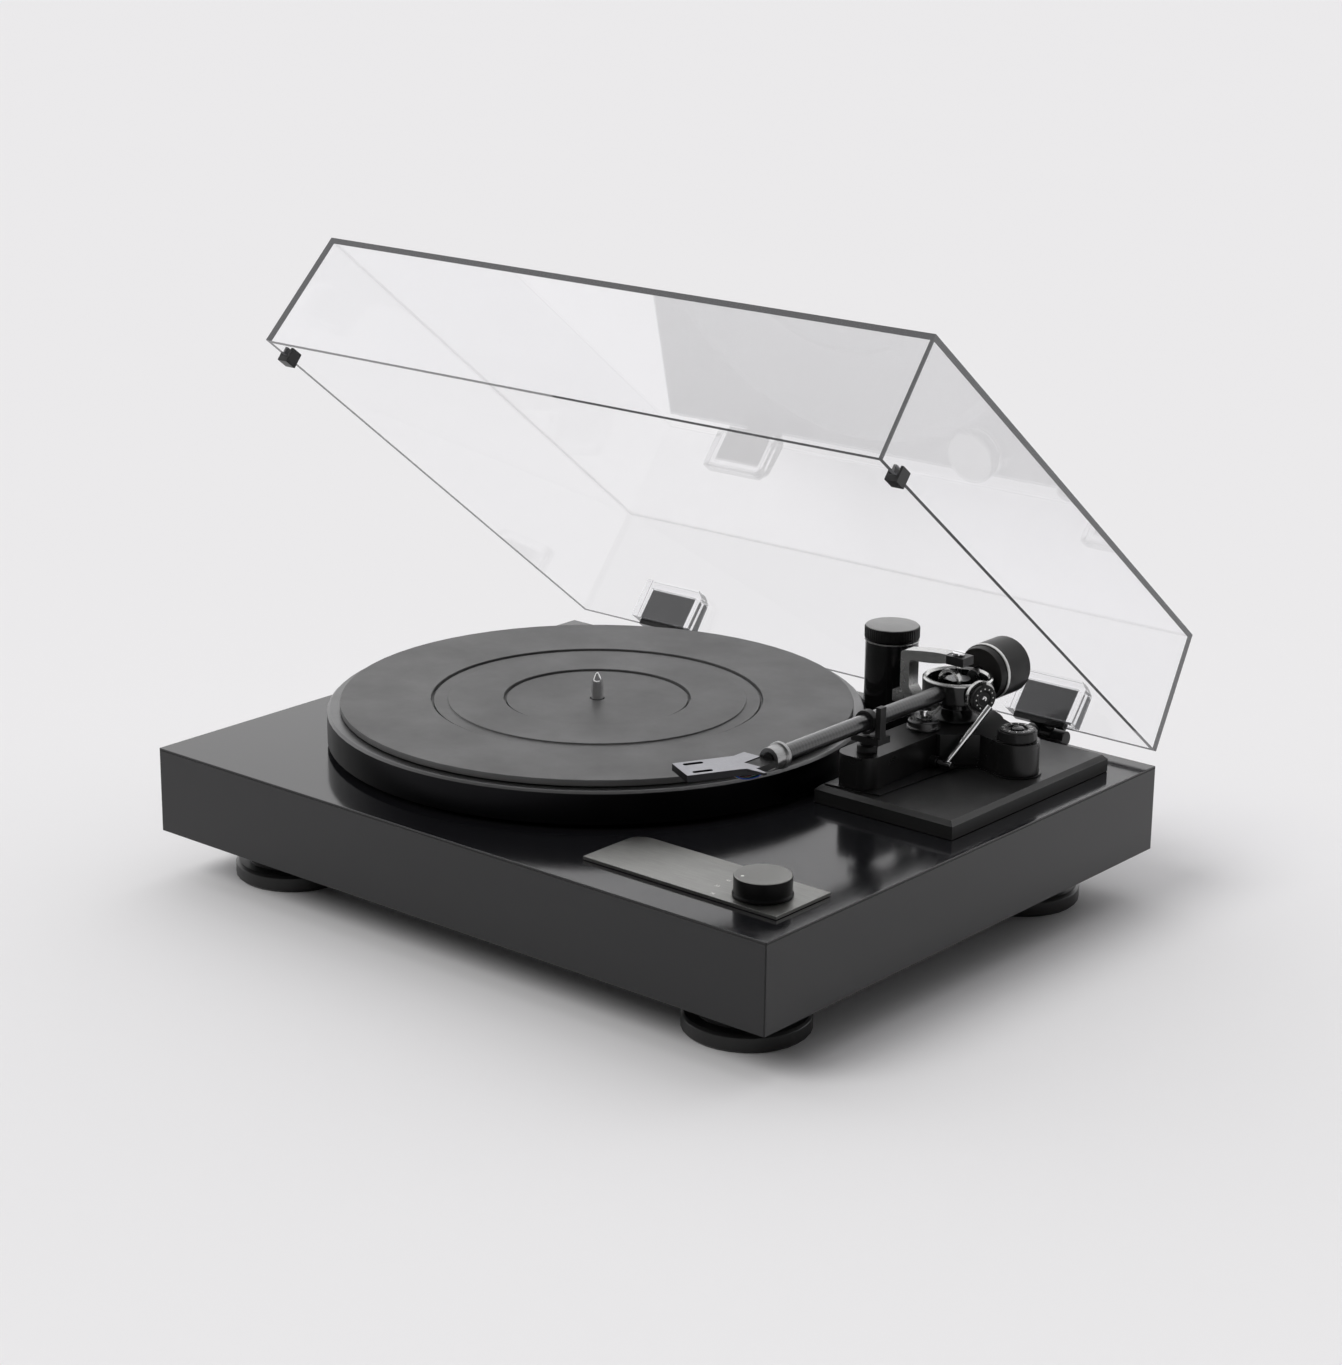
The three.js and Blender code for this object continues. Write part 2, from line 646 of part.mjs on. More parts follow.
const REAR = rearPanelSpan();
const REAR_FACE = PLINTH_BACK - SEAT;
const REAR_MIDDLE = (REAR.z0 + REAR.z1) / 2;
const SOCKETS = [
  ["phono_socket_left", -48, SOCKET_RADIUS, 9],
  ["phono_socket_right", -32, SOCKET_RADIUS, 9],
  ["ground_post", -14, 3.6, 11],
];
const INLET_OFFSET = 46;
const INLET_RADIUS = 6;
const INLET_BORE = 4;

function rearPanel() {
  const panel = box(REAR.x0, REAR.x1, REAR_FACE - REAR_PANEL_THICKNESS, REAR_FACE, REAR.z0, REAR.z1);
  const hole = (offset, radius) =>
    turnedAlongY(pill(radius + SEAT, REAR_FACE - 5, REAR_FACE + 1), REAR_PANEL_X + offset, REAR_MIDDLE, 16);
  return cut(panel, ...SOCKETS.map(([, offset]) => hole(offset, 2.6)), hole(INLET_OFFSET, INLET_RADIUS));
}

// A threaded stem through the panel with a wider barrel outside it and an open centre contact.
function rearSocket(offset, radius, reach) {
  const face = REAR_FACE + SEAT;
  const profile = [
    [0, face - 12],
    [2.6, face - 12],
    [2.6, face],
    [radius, face],
    [radius, face + reach],
    [1.4, face + reach],
    [1.4, face + reach - 6],
    [0, face + reach - 6],
  ];
  return turnedAlongY(profile, REAR_PANEL_X + offset, REAR_MIDDLE, 16);
}

function powerInlet() {
  const profile = [
    [0, REAR_FACE - 13],
    [INLET_RADIUS, REAR_FACE - 13],
    [INLET_RADIUS, REAR_FACE - 0.4],
    [INLET_BORE, REAR_FACE - 0.4],
    [INLET_BORE, REAR_FACE - 9],
    [0, REAR_FACE - 9],
  ];
  return turnedAlongY(profile, REAR_PANEL_X + INLET_OFFSET, REAR_MIDDLE, 16);
}

add("main_board", mainBoard(), FINISH.board);
add("rear_panel", rearPanel(), FINISH.matteBlack);
for (const [name, offset, radius, reach] of SOCKETS) {
  add(name, rearSocket(offset, radius, reach), FINISH.gold);
}
add("power_inlet", powerInlet(), FINISH.glossBlack);

// ---------------------------------------------------------------- arm board and pod
const ANTISKATE_X = PIVOT_X + ANTISKATE_REACH;
const ANTISKATE_Y = PIVOT_Y - ANTISKATE_FORWARD;
const POD_BAR_LEFT = PIVOT_X - 15.5;
const POD_BAR_RIGHT = POD_BAR_LEFT + POD_BAR_WIDTH;
const LIFT_X = PIVOT_X + LIFT_SIDE;
const LIFT_Y = PIVOT_Y - LIFT_FORWARD;
const LEVER_X = PIVOT_X + LEVER_SIDE;
const LEVER_Y = PIVOT_Y - LEVER_FORWARD;
const REST_Y = PIVOT_Y - REST_FORWARD;
const REST_POST_X = PIVOT_X - 2;
const REST_POST_Y = REST_Y + 3.5;
const LIFT_ROD_RADIUS = 2.2;
const DIAL_STEM_RADIUS = 2.5;

function armBoard() {
  const [low, step] = [DECK + SEAT, BOARD_TOP - BOARD_CHAMFER];
  const back = BOARD_FRONT + BOARD_DEPTH;
  const slab = box(BOARD_LEFT, BOARD_RIGHT, BOARD_FRONT, back, low, step + 0.1);
  const top = frustum(BOARD_LEFT, BOARD_RIGHT, BOARD_FRONT, back, step, BOARD_TOP, BOARD_CHAMFER);
  return cut(joined(slab, top), post(COLUMN_RADIUS + SEAT, PIVOT_X, PIVOT_Y, low - 1, BOARD_TOP + 1));
}

// The casting's plan: a front bar, a round hub under the pivot, the dial boss and the web between them.
function podPlan(low, high, margin) {
  const bar = roundedRectangle(
    POD_BAR_LEFT - margin,
    POD_BAR_RIGHT + margin,
    POD_BAR_FRONT - margin,
    PIVOT_Y,
    [POD_BAR_CORNER, POD_BAR_CORNER, 0, 0],
  );
  const web = outline([
    [PIVOT_X, PIVOT_Y + POD_HUB_RADIUS + margin],
    [POD_BAR_RIGHT, PIVOT_Y - 31 - margin],
    [POD_BAR_RIGHT + 2.6 + margin, PIVOT_Y - 31 - margin],
    [PIVOT_X + 27, PIVOT_Y - 16 - margin],
    [ANTISKATE_X, ANTISKATE_Y - ANTISKATE_BOSS - margin],
    [ANTISKATE_X, ANTISKATE_Y + ANTISKATE_BOSS + margin],
  ]);
  const plan = joined(
    prism(bar, low, high, 5),
    prism(web, low, high),
    post(POD_HUB_RADIUS + margin, PIVOT_X, PIVOT_Y, low, high, 32),
    post(ANTISKATE_BOSS + margin, ANTISKATE_X, ANTISKATE_Y, low, high, 24),
  );
  const left = BOARD_LEFT + POD_FROM_BOARD_EDGE - margin;
  const back = PIVOT_Y + 2 * POD_HUB_RADIUS;
  return cut(plan, box(left - POD_HUB_RADIUS, left, BOARD_FRONT, back, low - 1, high + 1));
}

function podFlange() {
  const [low, high] = [BOARD_TOP + SEAT, BOARD_TOP + POD_BASE];
  const skirt = outline([
    [POD_BAR_LEFT - 3, POD_BAR_FRONT - 2.5],
    [POD_BAR_RIGHT + 6.3, POD_BAR_FRONT + 1.7],
    [POD_BAR_RIGHT + 11, PIVOT_Y - 18],
    [POD_BAR_LEFT - 3, PIVOT_Y],
  ]);
  const plate = joined(prism(skirt, low, high), podPlan(low, high, 1.2));
  return cut(plate, post(COLUMN_RADIUS + SEAT, PIVOT_X, PIVOT_Y, low - 1, high + 1));
}

function pod() {
  const casting = podPlan(POD_BOTTOM, POD_TOP, 0);
  const leverBoss = turnedAlongX(pill(3.2, POD_BAR_RIGHT - 2, POD_BAR_RIGHT + 4), LEVER_Y, LEVER_Z);
  const bore = pill(LEVER_SHAFT_RADIUS + RUNNING, POD_BAR_RIGHT - 6, POD_BAR_RIGHT + 5);
  const leverBore = turnedAlongX(bore, LEVER_Y, LEVER_Z);
  return cut(
    joined(casting, leverBoss),
    leverBore,
    post(COLUMN_RADIUS + SEAT, PIVOT_X, PIVOT_Y, POD_BOTTOM - 1, POD_TOP + 1),
    post(LIFT_ROD_RADIUS + RUNNING, LIFT_X, LIFT_Y, POD_TOP - 15, POD_TOP + 1, 20),
    post(DIAL_STEM_RADIUS + RUNNING, ANTISKATE_X, ANTISKATE_Y, POD_TOP - 8, POD_TOP + 1, 20),
  );
}

function antiskateDial() {
  const low = POD_TOP + SEAT;
  const grip = prismGeometry(fluted(ANTISKATE_RADIUS, 18, 0.35), ANTISKATE_HEIGHT - 0.8);
  const skirt = solidOf(grip.translate(ANTISKATE_X, ANTISKATE_Y, low));
  const face = post(ANTISKATE_RADIUS - 0.9, ANTISKATE_X, ANTISKATE_Y, low + 1, low + ANTISKATE_HEIGHT, 24);
  const stem = post(DIAL_STEM_RADIUS, ANTISKATE_X, ANTISKATE_Y, POD_TOP - 7, low + 1, 20);
  const dishFloor = low + ANTISKATE_HEIGHT - 0.8;
  const dish = post(ANTISKATE_RADIUS - 5.2, ANTISKATE_X, ANTISKATE_Y, dishFloor, low + 20);
  return cut(joined(skirt, face, stem), dish);
}

add("arm_board", armBoard(), FINISH.matteBlack);
add("pod_flange", podFlange(), FINISH.castBlack);
add("pod_casting", pod(), FINISH.castBlack);
add("antiskate_dial", antiskateDial(), FINISH.matteBlack);

// ---------------------------------------------------------------- column and yoke
const COLUMN_TOP = RING_BOTTOM - 1.9;
const COLUMN_BOTTOM = CEILING - 12;

function columnProfile(grow) {
  const inner = grow ? 0 : SHAFT_RADIUS + RUNNING;
  const low = POD_TOP + SEAT - grow;
  return [
    [inner, COLUMN_BOTTOM],
    [COLUMN_RADIUS, COLUMN_BOTTOM],
    [COLUMN_RADIUS, low],
    [14 + grow, low],
    [14 + grow, low + 1.4 + grow],
    [9.2 + grow, low + 6.5 + grow],
    [9.2 + grow, COLUMN_TOP],
    [inner, COLUMN_TOP],
    ...(grow ? [] : [[inner, COLUMN_BOTTOM]]),
  ];
}

// A flat bar bent into a C: a foot beside the column, an upright, and a limb that arches over the pivot.
function yoke() {
  const left = PIVOT_X - YOKE_REACH;
  const [right, limb] = [PIVOT_X - 5.4, ARM_Z + 10.4];
  const shape = new THREE.Shape();
  shape.moveTo(left - 5, ARM_Z - 15.6);
  shape.lineTo(PIVOT_X - 2, ARM_Z - 15.6);
  shape.lineTo(PIVOT_X - 2, ARM_Z - 11);
  shape.lineTo(left + YOKE_BAR + 4.6, ARM_Z - 11);
  shape.lineTo(left + YOKE_BAR, ARM_Z - 5);
  shape.lineTo(left + YOKE_BAR, limb - 2);
  shape.quadraticCurveTo(left + YOKE_BAR, limb, left + YOKE_BAR + 2, limb);
  shape.quadraticCurveTo(left + 20, limb + 0.4, right, ARM_Z + 13.2);
  shape.lineTo(right, ARM_Z + 18.4);
  shape.quadraticCurveTo(left + 22, ARM_Z + 18.6, left + 4, ARM_Z + 15.6);
  shape.quadraticCurveTo(left, ARM_Z + 15.2, left, ARM_Z + 13);
  shape.lineTo(left, ARM_Z - 6);
  shape.lineTo(left + 2.4, ARM_Z - 9);
  shape.lineTo(left - 5, ARM_Z - 9);
  const bar = prismAlongY(shape, PIVOT_Y - YOKE_DEPTH / 2, PIVOT_Y + YOKE_DEPTH / 2, 6);
  return cut(bar, turned(columnProfile(SEAT), PIVOT_X, PIVOT_Y));
}

const BLOCK_BOTTOM = ARM_Z + 13.2;
const BLOCK_TOP = ARM_Z + 18.2;

function yokeBlock() {
  const half = YOKE_DEPTH / 2 + 0.6;
  const block = box(PIVOT_X - 5.1, PIVOT_X + 6.4, PIVOT_Y - half, PIVOT_Y + half, BLOCK_BOTTOM, BLOCK_TOP);
  return cut(block, post(1.6 + SEAT, PIVOT_X, PIVOT_Y, BLOCK_BOTTOM - 1, BLOCK_TOP + 1, 16));
}

const HUB_TOP = ARM_Z + 5;

function pivotScrew() {
  const profile = [
    [0, HUB_TOP + SEAT],
    [0.5, HUB_TOP + SEAT],
    [1.6, HUB_TOP + 2],
    [1.6, BLOCK_TOP + SEAT],
    [3.6, BLOCK_TOP + SEAT],
    [3.6, BLOCK_TOP + 1.7],
    [0, BLOCK_TOP + 1.7],
  ];
  const slot = box(PIVOT_X - 4, PIVOT_X + 4, PIVOT_Y - 0.5, PIVOT_Y + 0.5, BLOCK_TOP + 1, BLOCK_TOP + 2);
  return cut(turned(profile, PIVOT_X, PIVOT_Y, 24), slot);
}

add("arm_column", turned(columnProfile(0), PIVOT_X, PIVOT_Y), FINISH.glossBlack);
add("yoke", yoke(), FINISH.aluminium);
add("yoke_block", yokeBlock(), FINISH.matteBlack);
add("pivot_screw", pivotScrew(), FINISH.chrome);

// ---------------------------------------------------------------- arm rest, lift and cue lever
function armRest() {
  const cradleTop = ARM_Z - REST_SLEEVE_RADIUS - 0.6;
  const low = POD_TOP + SEAT;
  const right = PIVOT_X + REST_SLEEVE_RADIUS + 0.8;
  const collar = post(5.6, REST_POST_X, REST_POST_Y, low, low + 3, 24);
  const stem = post(3.4, REST_POST_X, REST_POST_Y, low + 2, cradleTop - 2, 24);
  const saddle = box(PIVOT_X - 7.5, right + 3.2, REST_Y - 4, REST_POST_Y + 3.4, cradleTop - 3.6, cradleTop);
  const upright = box(right, right + 3.2, REST_Y - 2.5, REST_Y + 2.5, cradleTop - 3.6, ARM_Z + 10);
  return joined(collar, stem, saddle, upright);
}

const LIFT_HEAD_TOP = ARM_UNDERSIDE - 0.4;

function liftGuide() {
  const low = POD_TOP + SEAT;
  const profile = [
    [LIFT_ROD_RADIUS + RUNNING, low],
    [LIFT_RADIUS + 0.6, low],
    [LIFT_RADIUS + 0.6, low + 1.4],
    [LIFT_RADIUS, low + 1.9],
    [LIFT_RADIUS, low + 4.6],
    [LIFT_RADIUS - 0.8, low + 5.4],
    [4.6, low + 5.4],
    [4.6, low + 6.6],
    [LIFT_ROD_RADIUS + RUNNING, low + 6.6],
    [LIFT_ROD_RADIUS + RUNNING, low],
  ];
  return turned(profile, LIFT_X, LIFT_Y);
}

function liftPiston() {
  const headTop = LIFT_HEAD_TOP - LIFT_BAR_THICKNESS;
  const headBottom = headTop - LIFT_HEAD_THICKNESS;
  const profile = [
    [0, POD_TOP - 9],
    [LIFT_ROD_RADIUS, POD_TOP - 9],
    [LIFT_ROD_RADIUS, headBottom],
    [LIFT_HEAD_RADIUS, headBottom],
    [LIFT_HEAD_RADIUS, headTop],
    [0, headTop],
  ];
  const slot = box(LIFT_X - 4, LIFT_X + 4, LIFT_Y - 0.5, LIFT_Y + 0.5, headTop - 0.6, LIFT_HEAD_TOP);
  return cut(turned(profile, LIFT_X, LIFT_Y, 20), slot);
}

// A padded strip on the piston that follows the arm round its upright axis.
function liftBar() {
  const [inner, outer] = [LIFT_FORWARD - 1.6, LIFT_FORWARD + 1.6];
  const start = radians(-84);
  const end = radians(-90 - LIFT_BAR_SWEEP);
  const shape = new THREE.Shape();
  shape.absarc(PIVOT_X, PIVOT_Y, outer, start, end, true);
  shape.absarc(PIVOT_X, PIVOT_Y, inner, end, start, false);
  return prism(shape, LIFT_HEAD_TOP - LIFT_BAR_THICKNESS + SEAT, LIFT_HEAD_TOP, 12);
}

const LEVER_TIP = [PIVOT_X + 31.7, PIVOT_Y - 14.8, LEVER_Z + 31.3];

function cueLever() {
  const shaft = turnedAlongX(pill(LEVER_SHAFT_RADIUS, POD_BAR_RIGHT - 4, LEVER_X + 4), LEVER_Y, LEVER_Z);
  const cross = turnedAlongX(pill(2, LEVER_X - 3.4, LEVER_X + 4), LEVER_Y, LEVER_Z, 16);
  const stalk = rod([LEVER_X, LEVER_Y, LEVER_Z], LEVER_TIP, 1.3, 1.9);
  return joined(shaft, cross, stalk);
}

add("arm_rest", armRest(), FINISH.matteBlack);
add("lift_guide", liftGuide(), FINISH.chrome);
add("lift_piston", liftPiston(), FINISH.chrome);
add("lift_bar", liftBar(), FINISH.rubber);
add("cue_lever", cueLever(), FINISH.chrome);

// ---------------------------------------------------------------- swinging hub of the arm
const rocking = new THREE.Group();
rocking.position.set(PIVOT_X, PIVOT_Y, ARM_Z);
rocking.rotation.z = radians(-AXLE_SKEW);
player.add(rocking);

function swingHub() {
  const low = RING_BOTTOM + 0.7;
  const shaft = post(SHAFT_RADIUS, PIVOT_X, PIVOT_Y, COLUMN_BOTTOM + 8, low + 1, 24);
  const plate = post(12, PIVOT_X, PIVOT_Y, low, low + 2);
  const hub = post(HUB_RADIUS, PIVOT_X, PIVOT_Y, low, HUB_TOP);
  const reach = RING_RADIUS - 0.8;
  const skew = radians(-AXLE_SKEW);
  const [dx, dy] = [reach * Math.cos(skew), reach * Math.sin(skew)];
  const ends = [-1, 1].map((sign) => [PIVOT_X + sign * dx, PIVOT_Y + sign * dy, ARM_Z]);
  const axle = rod(...ends, AXLE_RADIUS, AXLE_RADIUS);
  return cut(joined(shaft, plate, hub, axle), post(1.2, PIVOT_X, PIVOT_Y, HUB_TOP - 0.6, HUB_TOP + 1, 12));
}

// A half hoop that stands on the hub's plate in front of the pivot.
function bearingStrap() {
  const shape = new THREE.Shape();
  const crown = ARM_Z + 12 - STRAP_RADIUS;
  const low = RING_BOTTOM + 2.7 + SEAT;
  shape.moveTo(PIVOT_X + STRAP_RADIUS, low);
  shape.lineTo(PIVOT_X + STRAP_RADIUS, crown);
  shape.absarc(PIVOT_X, crown, STRAP_RADIUS, 0, Math.PI);
  shape.lineTo(PIVOT_X - STRAP_RADIUS, low);
  shape.lineTo(PIVOT_X - STRAP_RADIUS + STRAP_SIZE, low);
  shape.lineTo(PIVOT_X - STRAP_RADIUS + STRAP_SIZE, crown);
  shape.absarc(PIVOT_X, crown, STRAP_RADIUS - STRAP_SIZE, Math.PI, 0, true);
  shape.lineTo(PIVOT_X + STRAP_RADIUS - STRAP_SIZE, low);
  const y = PIVOT_Y - STRAP_FORWARD;
  return prismAlongY(shape, y - 1.5, y + 1.5, 10);
}

// ---------------------------------------------------------------- rocking ring, tube and weight
function gimbalRing() {
  const inner = RING_RADIUS - RING_WALL;
  const profile = [
    [inner, RING_BOTTOM],
    [RING_RADIUS - 0.8, RING_BOTTOM],
    [RING_RADIUS, RING_BOTTOM + 0.8],
    [RING_RADIUS, RING_TOP - 0.9],
    [RING_RADIUS - 0.7, RING_TOP],
    [inner + 1.1, RING_TOP],
    [inner, RING_TOP - 1.4],
    [inner, RING_BOTTOM],
  ];
  const skew = radians(-AXLE_SKEW);
  const reach = RING_RADIUS + 2;
  const [dx, dy] = [reach * Math.cos(skew), reach * Math.sin(skew)];
  const bore = AXLE_RADIUS + RUNNING;
  return cut(
    turned(profile, PIVOT_X, PIVOT_Y, 40),
    rod([PIVOT_X - dx, PIVOT_Y - dy, ARM_Z], [PIVOT_X + dx, PIVOT_Y + dy, ARM_Z], bore, bore),
    turnedAlongY(pill(TUBE_RADIUS + SEAT, PIVOT_Y - reach, PIVOT_Y), PIVOT_X, ARM_Z),
    turnedAlongY(pill(STUB_RADIUS + SEAT, PIVOT_Y, PIVOT_Y + reach), PIVOT_X, ARM_Z + STUB_RAISE, 24),
  );
}

const TUBE_END = PIVOT_Y - RING_RADIUS + RING_WALL + 2.6;
const COLLAR_BACK = PIVOT_Y - TUBE_FRONT;
const COLLAR_FRONT = COLLAR_BACK - COLLAR_LENGTH;

function armTube() {
  const profile = sleeve(TUBE_RADIUS - TUBE_WALL, TUBE_RADIUS, COLLAR_BACK + SEAT, TUBE_END);
  return turnedAlongY(profile, PIVOT_X, ARM_Z);
}

function restSleeve() {
  const half = REST_SLEEVE_LENGTH / 2;
  const profile = sleeve(TUBE_RADIUS + SEAT, REST_SLEEVE_RADIUS, REST_Y - half, REST_Y + half);
  return turnedAlongY(profile, PIVOT_X, ARM_Z);
}

const WEIGHT_Y = PIVOT_Y + WEIGHT_FRONT;

function rearStub() {
  const start = PIVOT_Y + RING_RADIUS - RING_WALL - 2.4;
  const end = WEIGHT_Y + WEIGHT_LENGTH - WEIGHT_TRAVEL;
  return turnedAlongY(pill(STUB_RADIUS, start, end), PIVOT_X, ARM_Z + STUB_RAISE);
}

function counterweight() {
  const bore = STUB_RADIUS + RUNNING;
  const back = WEIGHT_Y + WEIGHT_LENGTH;
  const profile = [
    [bore, WEIGHT_Y],
    [WEIGHT_RADIUS - 1.5, WEIGHT_Y],
    [WEIGHT_RADIUS - 0.9, WEIGHT_Y + WEIGHT_DISC],
    [WEIGHT_RADIUS, WEIGHT_Y + WEIGHT_DISC + 0.6],
    [WEIGHT_RADIUS, back - 2.6],
    [WEIGHT_RADIUS - 0.8, back - 0.8],
    [WEIGHT_RADIUS - 2.6, back],
    [0, back],
    [0, back - 1.5],
    [bore, back - 1.5],
    [bore, WEIGHT_Y],
  ];
  return turnedAlongY(profile, PIVOT_X, ARM_Z + STUB_RAISE, 32);
}

// The dial and its numbered ring are drawn on a line along X, inside the skewed group.
function forceScale() {
  const low = RING_RADIUS + SEAT;
  return turnedAlongX(sleeve(3.4, FORCE_SCALE_RADIUS, low, low + FORCE_SCALE_DEPTH), 0, 0, 24);
}

function forceDial() {
  const low = RING_RADIUS + FORCE_SCALE_DEPTH + 2 * SEAT;
  const high = low + FORCE_DIAL_DEPTH;
  const knob = turnedAlongX(
    [
      [0, low],
      [FORCE_DIAL_RADIUS - 0.3, low],
      [FORCE_DIAL_RADIUS, low + 0.4],
      [FORCE_DIAL_RADIUS, high - 0.5],
      [FORCE_DIAL_RADIUS - 0.6, high],
      [4.4, high],
      [3.9, high - 0.5],
      [0, high - 0.5],
    ],
    0,
    0,
    24,
  );
  return joined(knob, box(low + 0.4, high - 0.5, -1.2, 1.2, FORCE_DIAL_RADIUS - 1, FORCE_DIAL_RADIUS + 1.7));
}

add("swing_hub", swingHub(), FINISH.steel);
add("bearing_strap", bearingStrap(), FINISH.aluminium);
add("gimbal_ring", gimbalRing(), FINISH.glossBlack);
add("arm_tube", armTube(), FINISH.carbon);
add("rest_sleeve", restSleeve(), FINISH.rubber);
add("rear_stub", rearStub(), FINISH.steel);
add("counterweight", counterweight(), FINISH.castBlack);
add("force_scale", forceScale(), FINISH.aluminium, rocking);
add("tracking_force_dial", forceDial(), FINISH.matteBlack, rocking);

// ---------------------------------------------------------------- collar and headshell
const SHELL_TOP = ARM_Z + 1;
const SHELL_BOTTOM = SHELL_TOP - SHELL_THICKNESS;
const SHELL_X = PIVOT_X + SHELL_SIDE;
const SHELL_Y = PIVOT_Y - SHELL_REACH;
const SHELL_BACK = COLLAR_FRONT - SEAT - 1;

function collar() {
  const profile = [
    [TUBE_RADIUS - TUBE_WALL, COLLAR_FRONT],
    [COLLAR_NUT_RADIUS, COLLAR_FRONT],
    [COLLAR_NUT_RADIUS, COLLAR_BACK - COLLAR_FLANGE - 0.6],
    [COLLAR_RADIUS, COLLAR_BACK - COLLAR_FLANGE],
    [COLLAR_RADIUS, COLLAR_BACK - 0.6],
    [COLLAR_RADIUS - 0.6, COLLAR_BACK],
    [TUBE_RADIUS - TUBE_WALL, COLLAR_BACK],
    [TUBE_RADIUS - TUBE_WALL, COLLAR_FRONT],
  ];
  return turnedAlongY(profile, PIVOT_X, ARM_Z);
}

const PLUG_LEFT = PIVOT_X - 4.2;

function fromShell(x, y) {
  const turn = new THREE.Vector2(x, y).rotateAround(new THREE.Vector2(), radians(-SHELL_OFFSET));
  return [SHELL_X + turn.x, SHELL_Y + turn.y];
}

function shellSlot(side) {
  const middle = (side * SHELL_SLOT_PITCH) / 2;
  const half = SHELL_SLOT_WIDTH / 2;
  const end = SHELL_SLOT_LENGTH / 2;
  const shape = roundedRectangle(middle - half, middle + half, -end, end, [half, half, half, half]);
  const geometry = prismGeometry(shape, SHELL_THICKNESS + 2, 4);
  return solidOf(geometry.rotateZ(radians(-SHELL_OFFSET)).translate(SHELL_X, SHELL_Y, SHELL_BOTTOM - 1));
}

function headshell() {
  const half = SHELL_WIDTH / 2;
  const plate = outline([
    fromShell(-half, -10),
    fromShell(half, -10),
    fromShell(half, SHELL_LENGTH - 11),
    fromShell(-half, SHELL_LENGTH - 4),
  ]);
  const [neckLeft, neckRight] = [PIVOT_X - 15.2, PIVOT_X + 6.2];
  const cornerRight = fromShell(half, SHELL_LENGTH - 11);
  const neck = outline([
    [neckLeft, SHELL_BACK],
    [neckLeft, SHELL_BACK - 12],
    fromShell(0, 8),
    cornerRight,
    [neckRight, SHELL_BACK - 15],
    [neckRight, SHELL_BACK],
  ]);
  const tab = outline([
    [cornerRight[0] - 3, cornerRight[1] + 2.6],
    [cornerRight[0] + 12.5, cornerRight[1] + 3.2],
    [cornerRight[0] + 13.5, cornerRight[1] + 4.6],
    [cornerRight[0] + 1, cornerRight[1] + 7.4],
  ]);
  const body = joined(
    prism(plate, SHELL_BOTTOM, SHELL_TOP),
    prism(neck, SHELL_BOTTOM, SHELL_TOP),
    prism(tab, SHELL_TOP - 1.4, SHELL_TOP),
  );
  const front = SHELL_BACK - PLUG_LENGTH - SEAT;
  const notch = box(PLUG_LEFT - SEAT, neckRight + 1, front, SHELL_BACK + 1, SHELL_BOTTOM - 1, SHELL_TOP + 1);
  return cut(body, shellSlot(-1), shellSlot(1), notch);
}

// The plug that joins the plate to the arm: its block fills the neck's notch and its stem the collar.
function shellPlug() {
  const high = SHELL_TOP - 0.4;
  const right = PLUG_LEFT + PLUG_WIDTH;
  const block = box(PLUG_LEFT, right, SHELL_BACK - PLUG_LENGTH, SHELL_BACK + 0.6, SHELL_BOTTOM, high);
  const core = pill(TUBE_RADIUS - TUBE_WALL - SEAT, SHELL_BACK + 0.3, COLLAR_BACK - 1);
  return joined(block, turnedAlongY(core, PIVOT_X, ARM_Z));
}

function leadBundle() {
  const low = SHELL_BOTTOM - 1.7;
  const path = new THREE.CatmullRomCurve3([
    new THREE.Vector3(PIVOT_X + 1, SHELL_BACK - 2, low),
    new THREE.Vector3(PIVOT_X, SHELL_BACK - 9, low - 0.8),
    new THREE.Vector3(PIVOT_X - 3.5, SHELL_BACK - 15, low - 1.4),
    new THREE.Vector3(PIVOT_X - 7.5, SHELL_BACK - 21, low - 0.6),
  ]);
  const ring = new THREE.Shape().absarc(0, 0, 1.2, 0, 2 * Math.PI);
  return solidOf(new THREE.ExtrudeGeometry(ring, { steps: 10, curveSegments: 8, extrudePath: path }));
}

add("headshell_collar", collar(), FINISH.steel);
add("headshell", headshell(), FINISH.shell);
add("headshell_plug", shellPlug(), FINISH.matteBlack);
add("cartridge_leads", leadBundle(), FINISH.copper);

// ---------------------------------------------------------------- accessory canister
function canister() {
  const low = DECK + SEAT;
  const inner = CANISTER_RADIUS - CANISTER_WALL;
  const profile = [
    [0, low],
    [CANISTER_RADIUS, low],
    [CANISTER_RADIUS, low + CANISTER_HEIGHT],
    [inner, low + CANISTER_HEIGHT],
    [inner, low + 3],
    [0, low + 3],
  ];
  return turned(profile, CANISTER_X, CANISTER_Y, 32);
}

function canisterCap() {
  const low = DECK + CANISTER_HEIGHT + 2 * SEAT;
  const skirt = prismGeometry(fluted(CAP_RADIUS, CAP_FLUTES, 0.3), CAP_HEIGHT - 0.5);
  const grip = solidOf(skirt.translate(CANISTER_X, CANISTER_Y, low));
  const top = post(CAP_RADIUS - 0.6, CANISTER_X, CANISTER_Y, low + 1, low + CAP_HEIGHT, 32);
  const plug = post(CANISTER_RADIUS - CANISTER_WALL - SEAT, CANISTER_X, CANISTER_Y, low - 4, low + 1, 32);
  return joined(grip, top, plug);
}

add("canister", canister(), FINISH.glossBlack);
add("canister_cap", canisterCap(), FINISH.matteBlack);

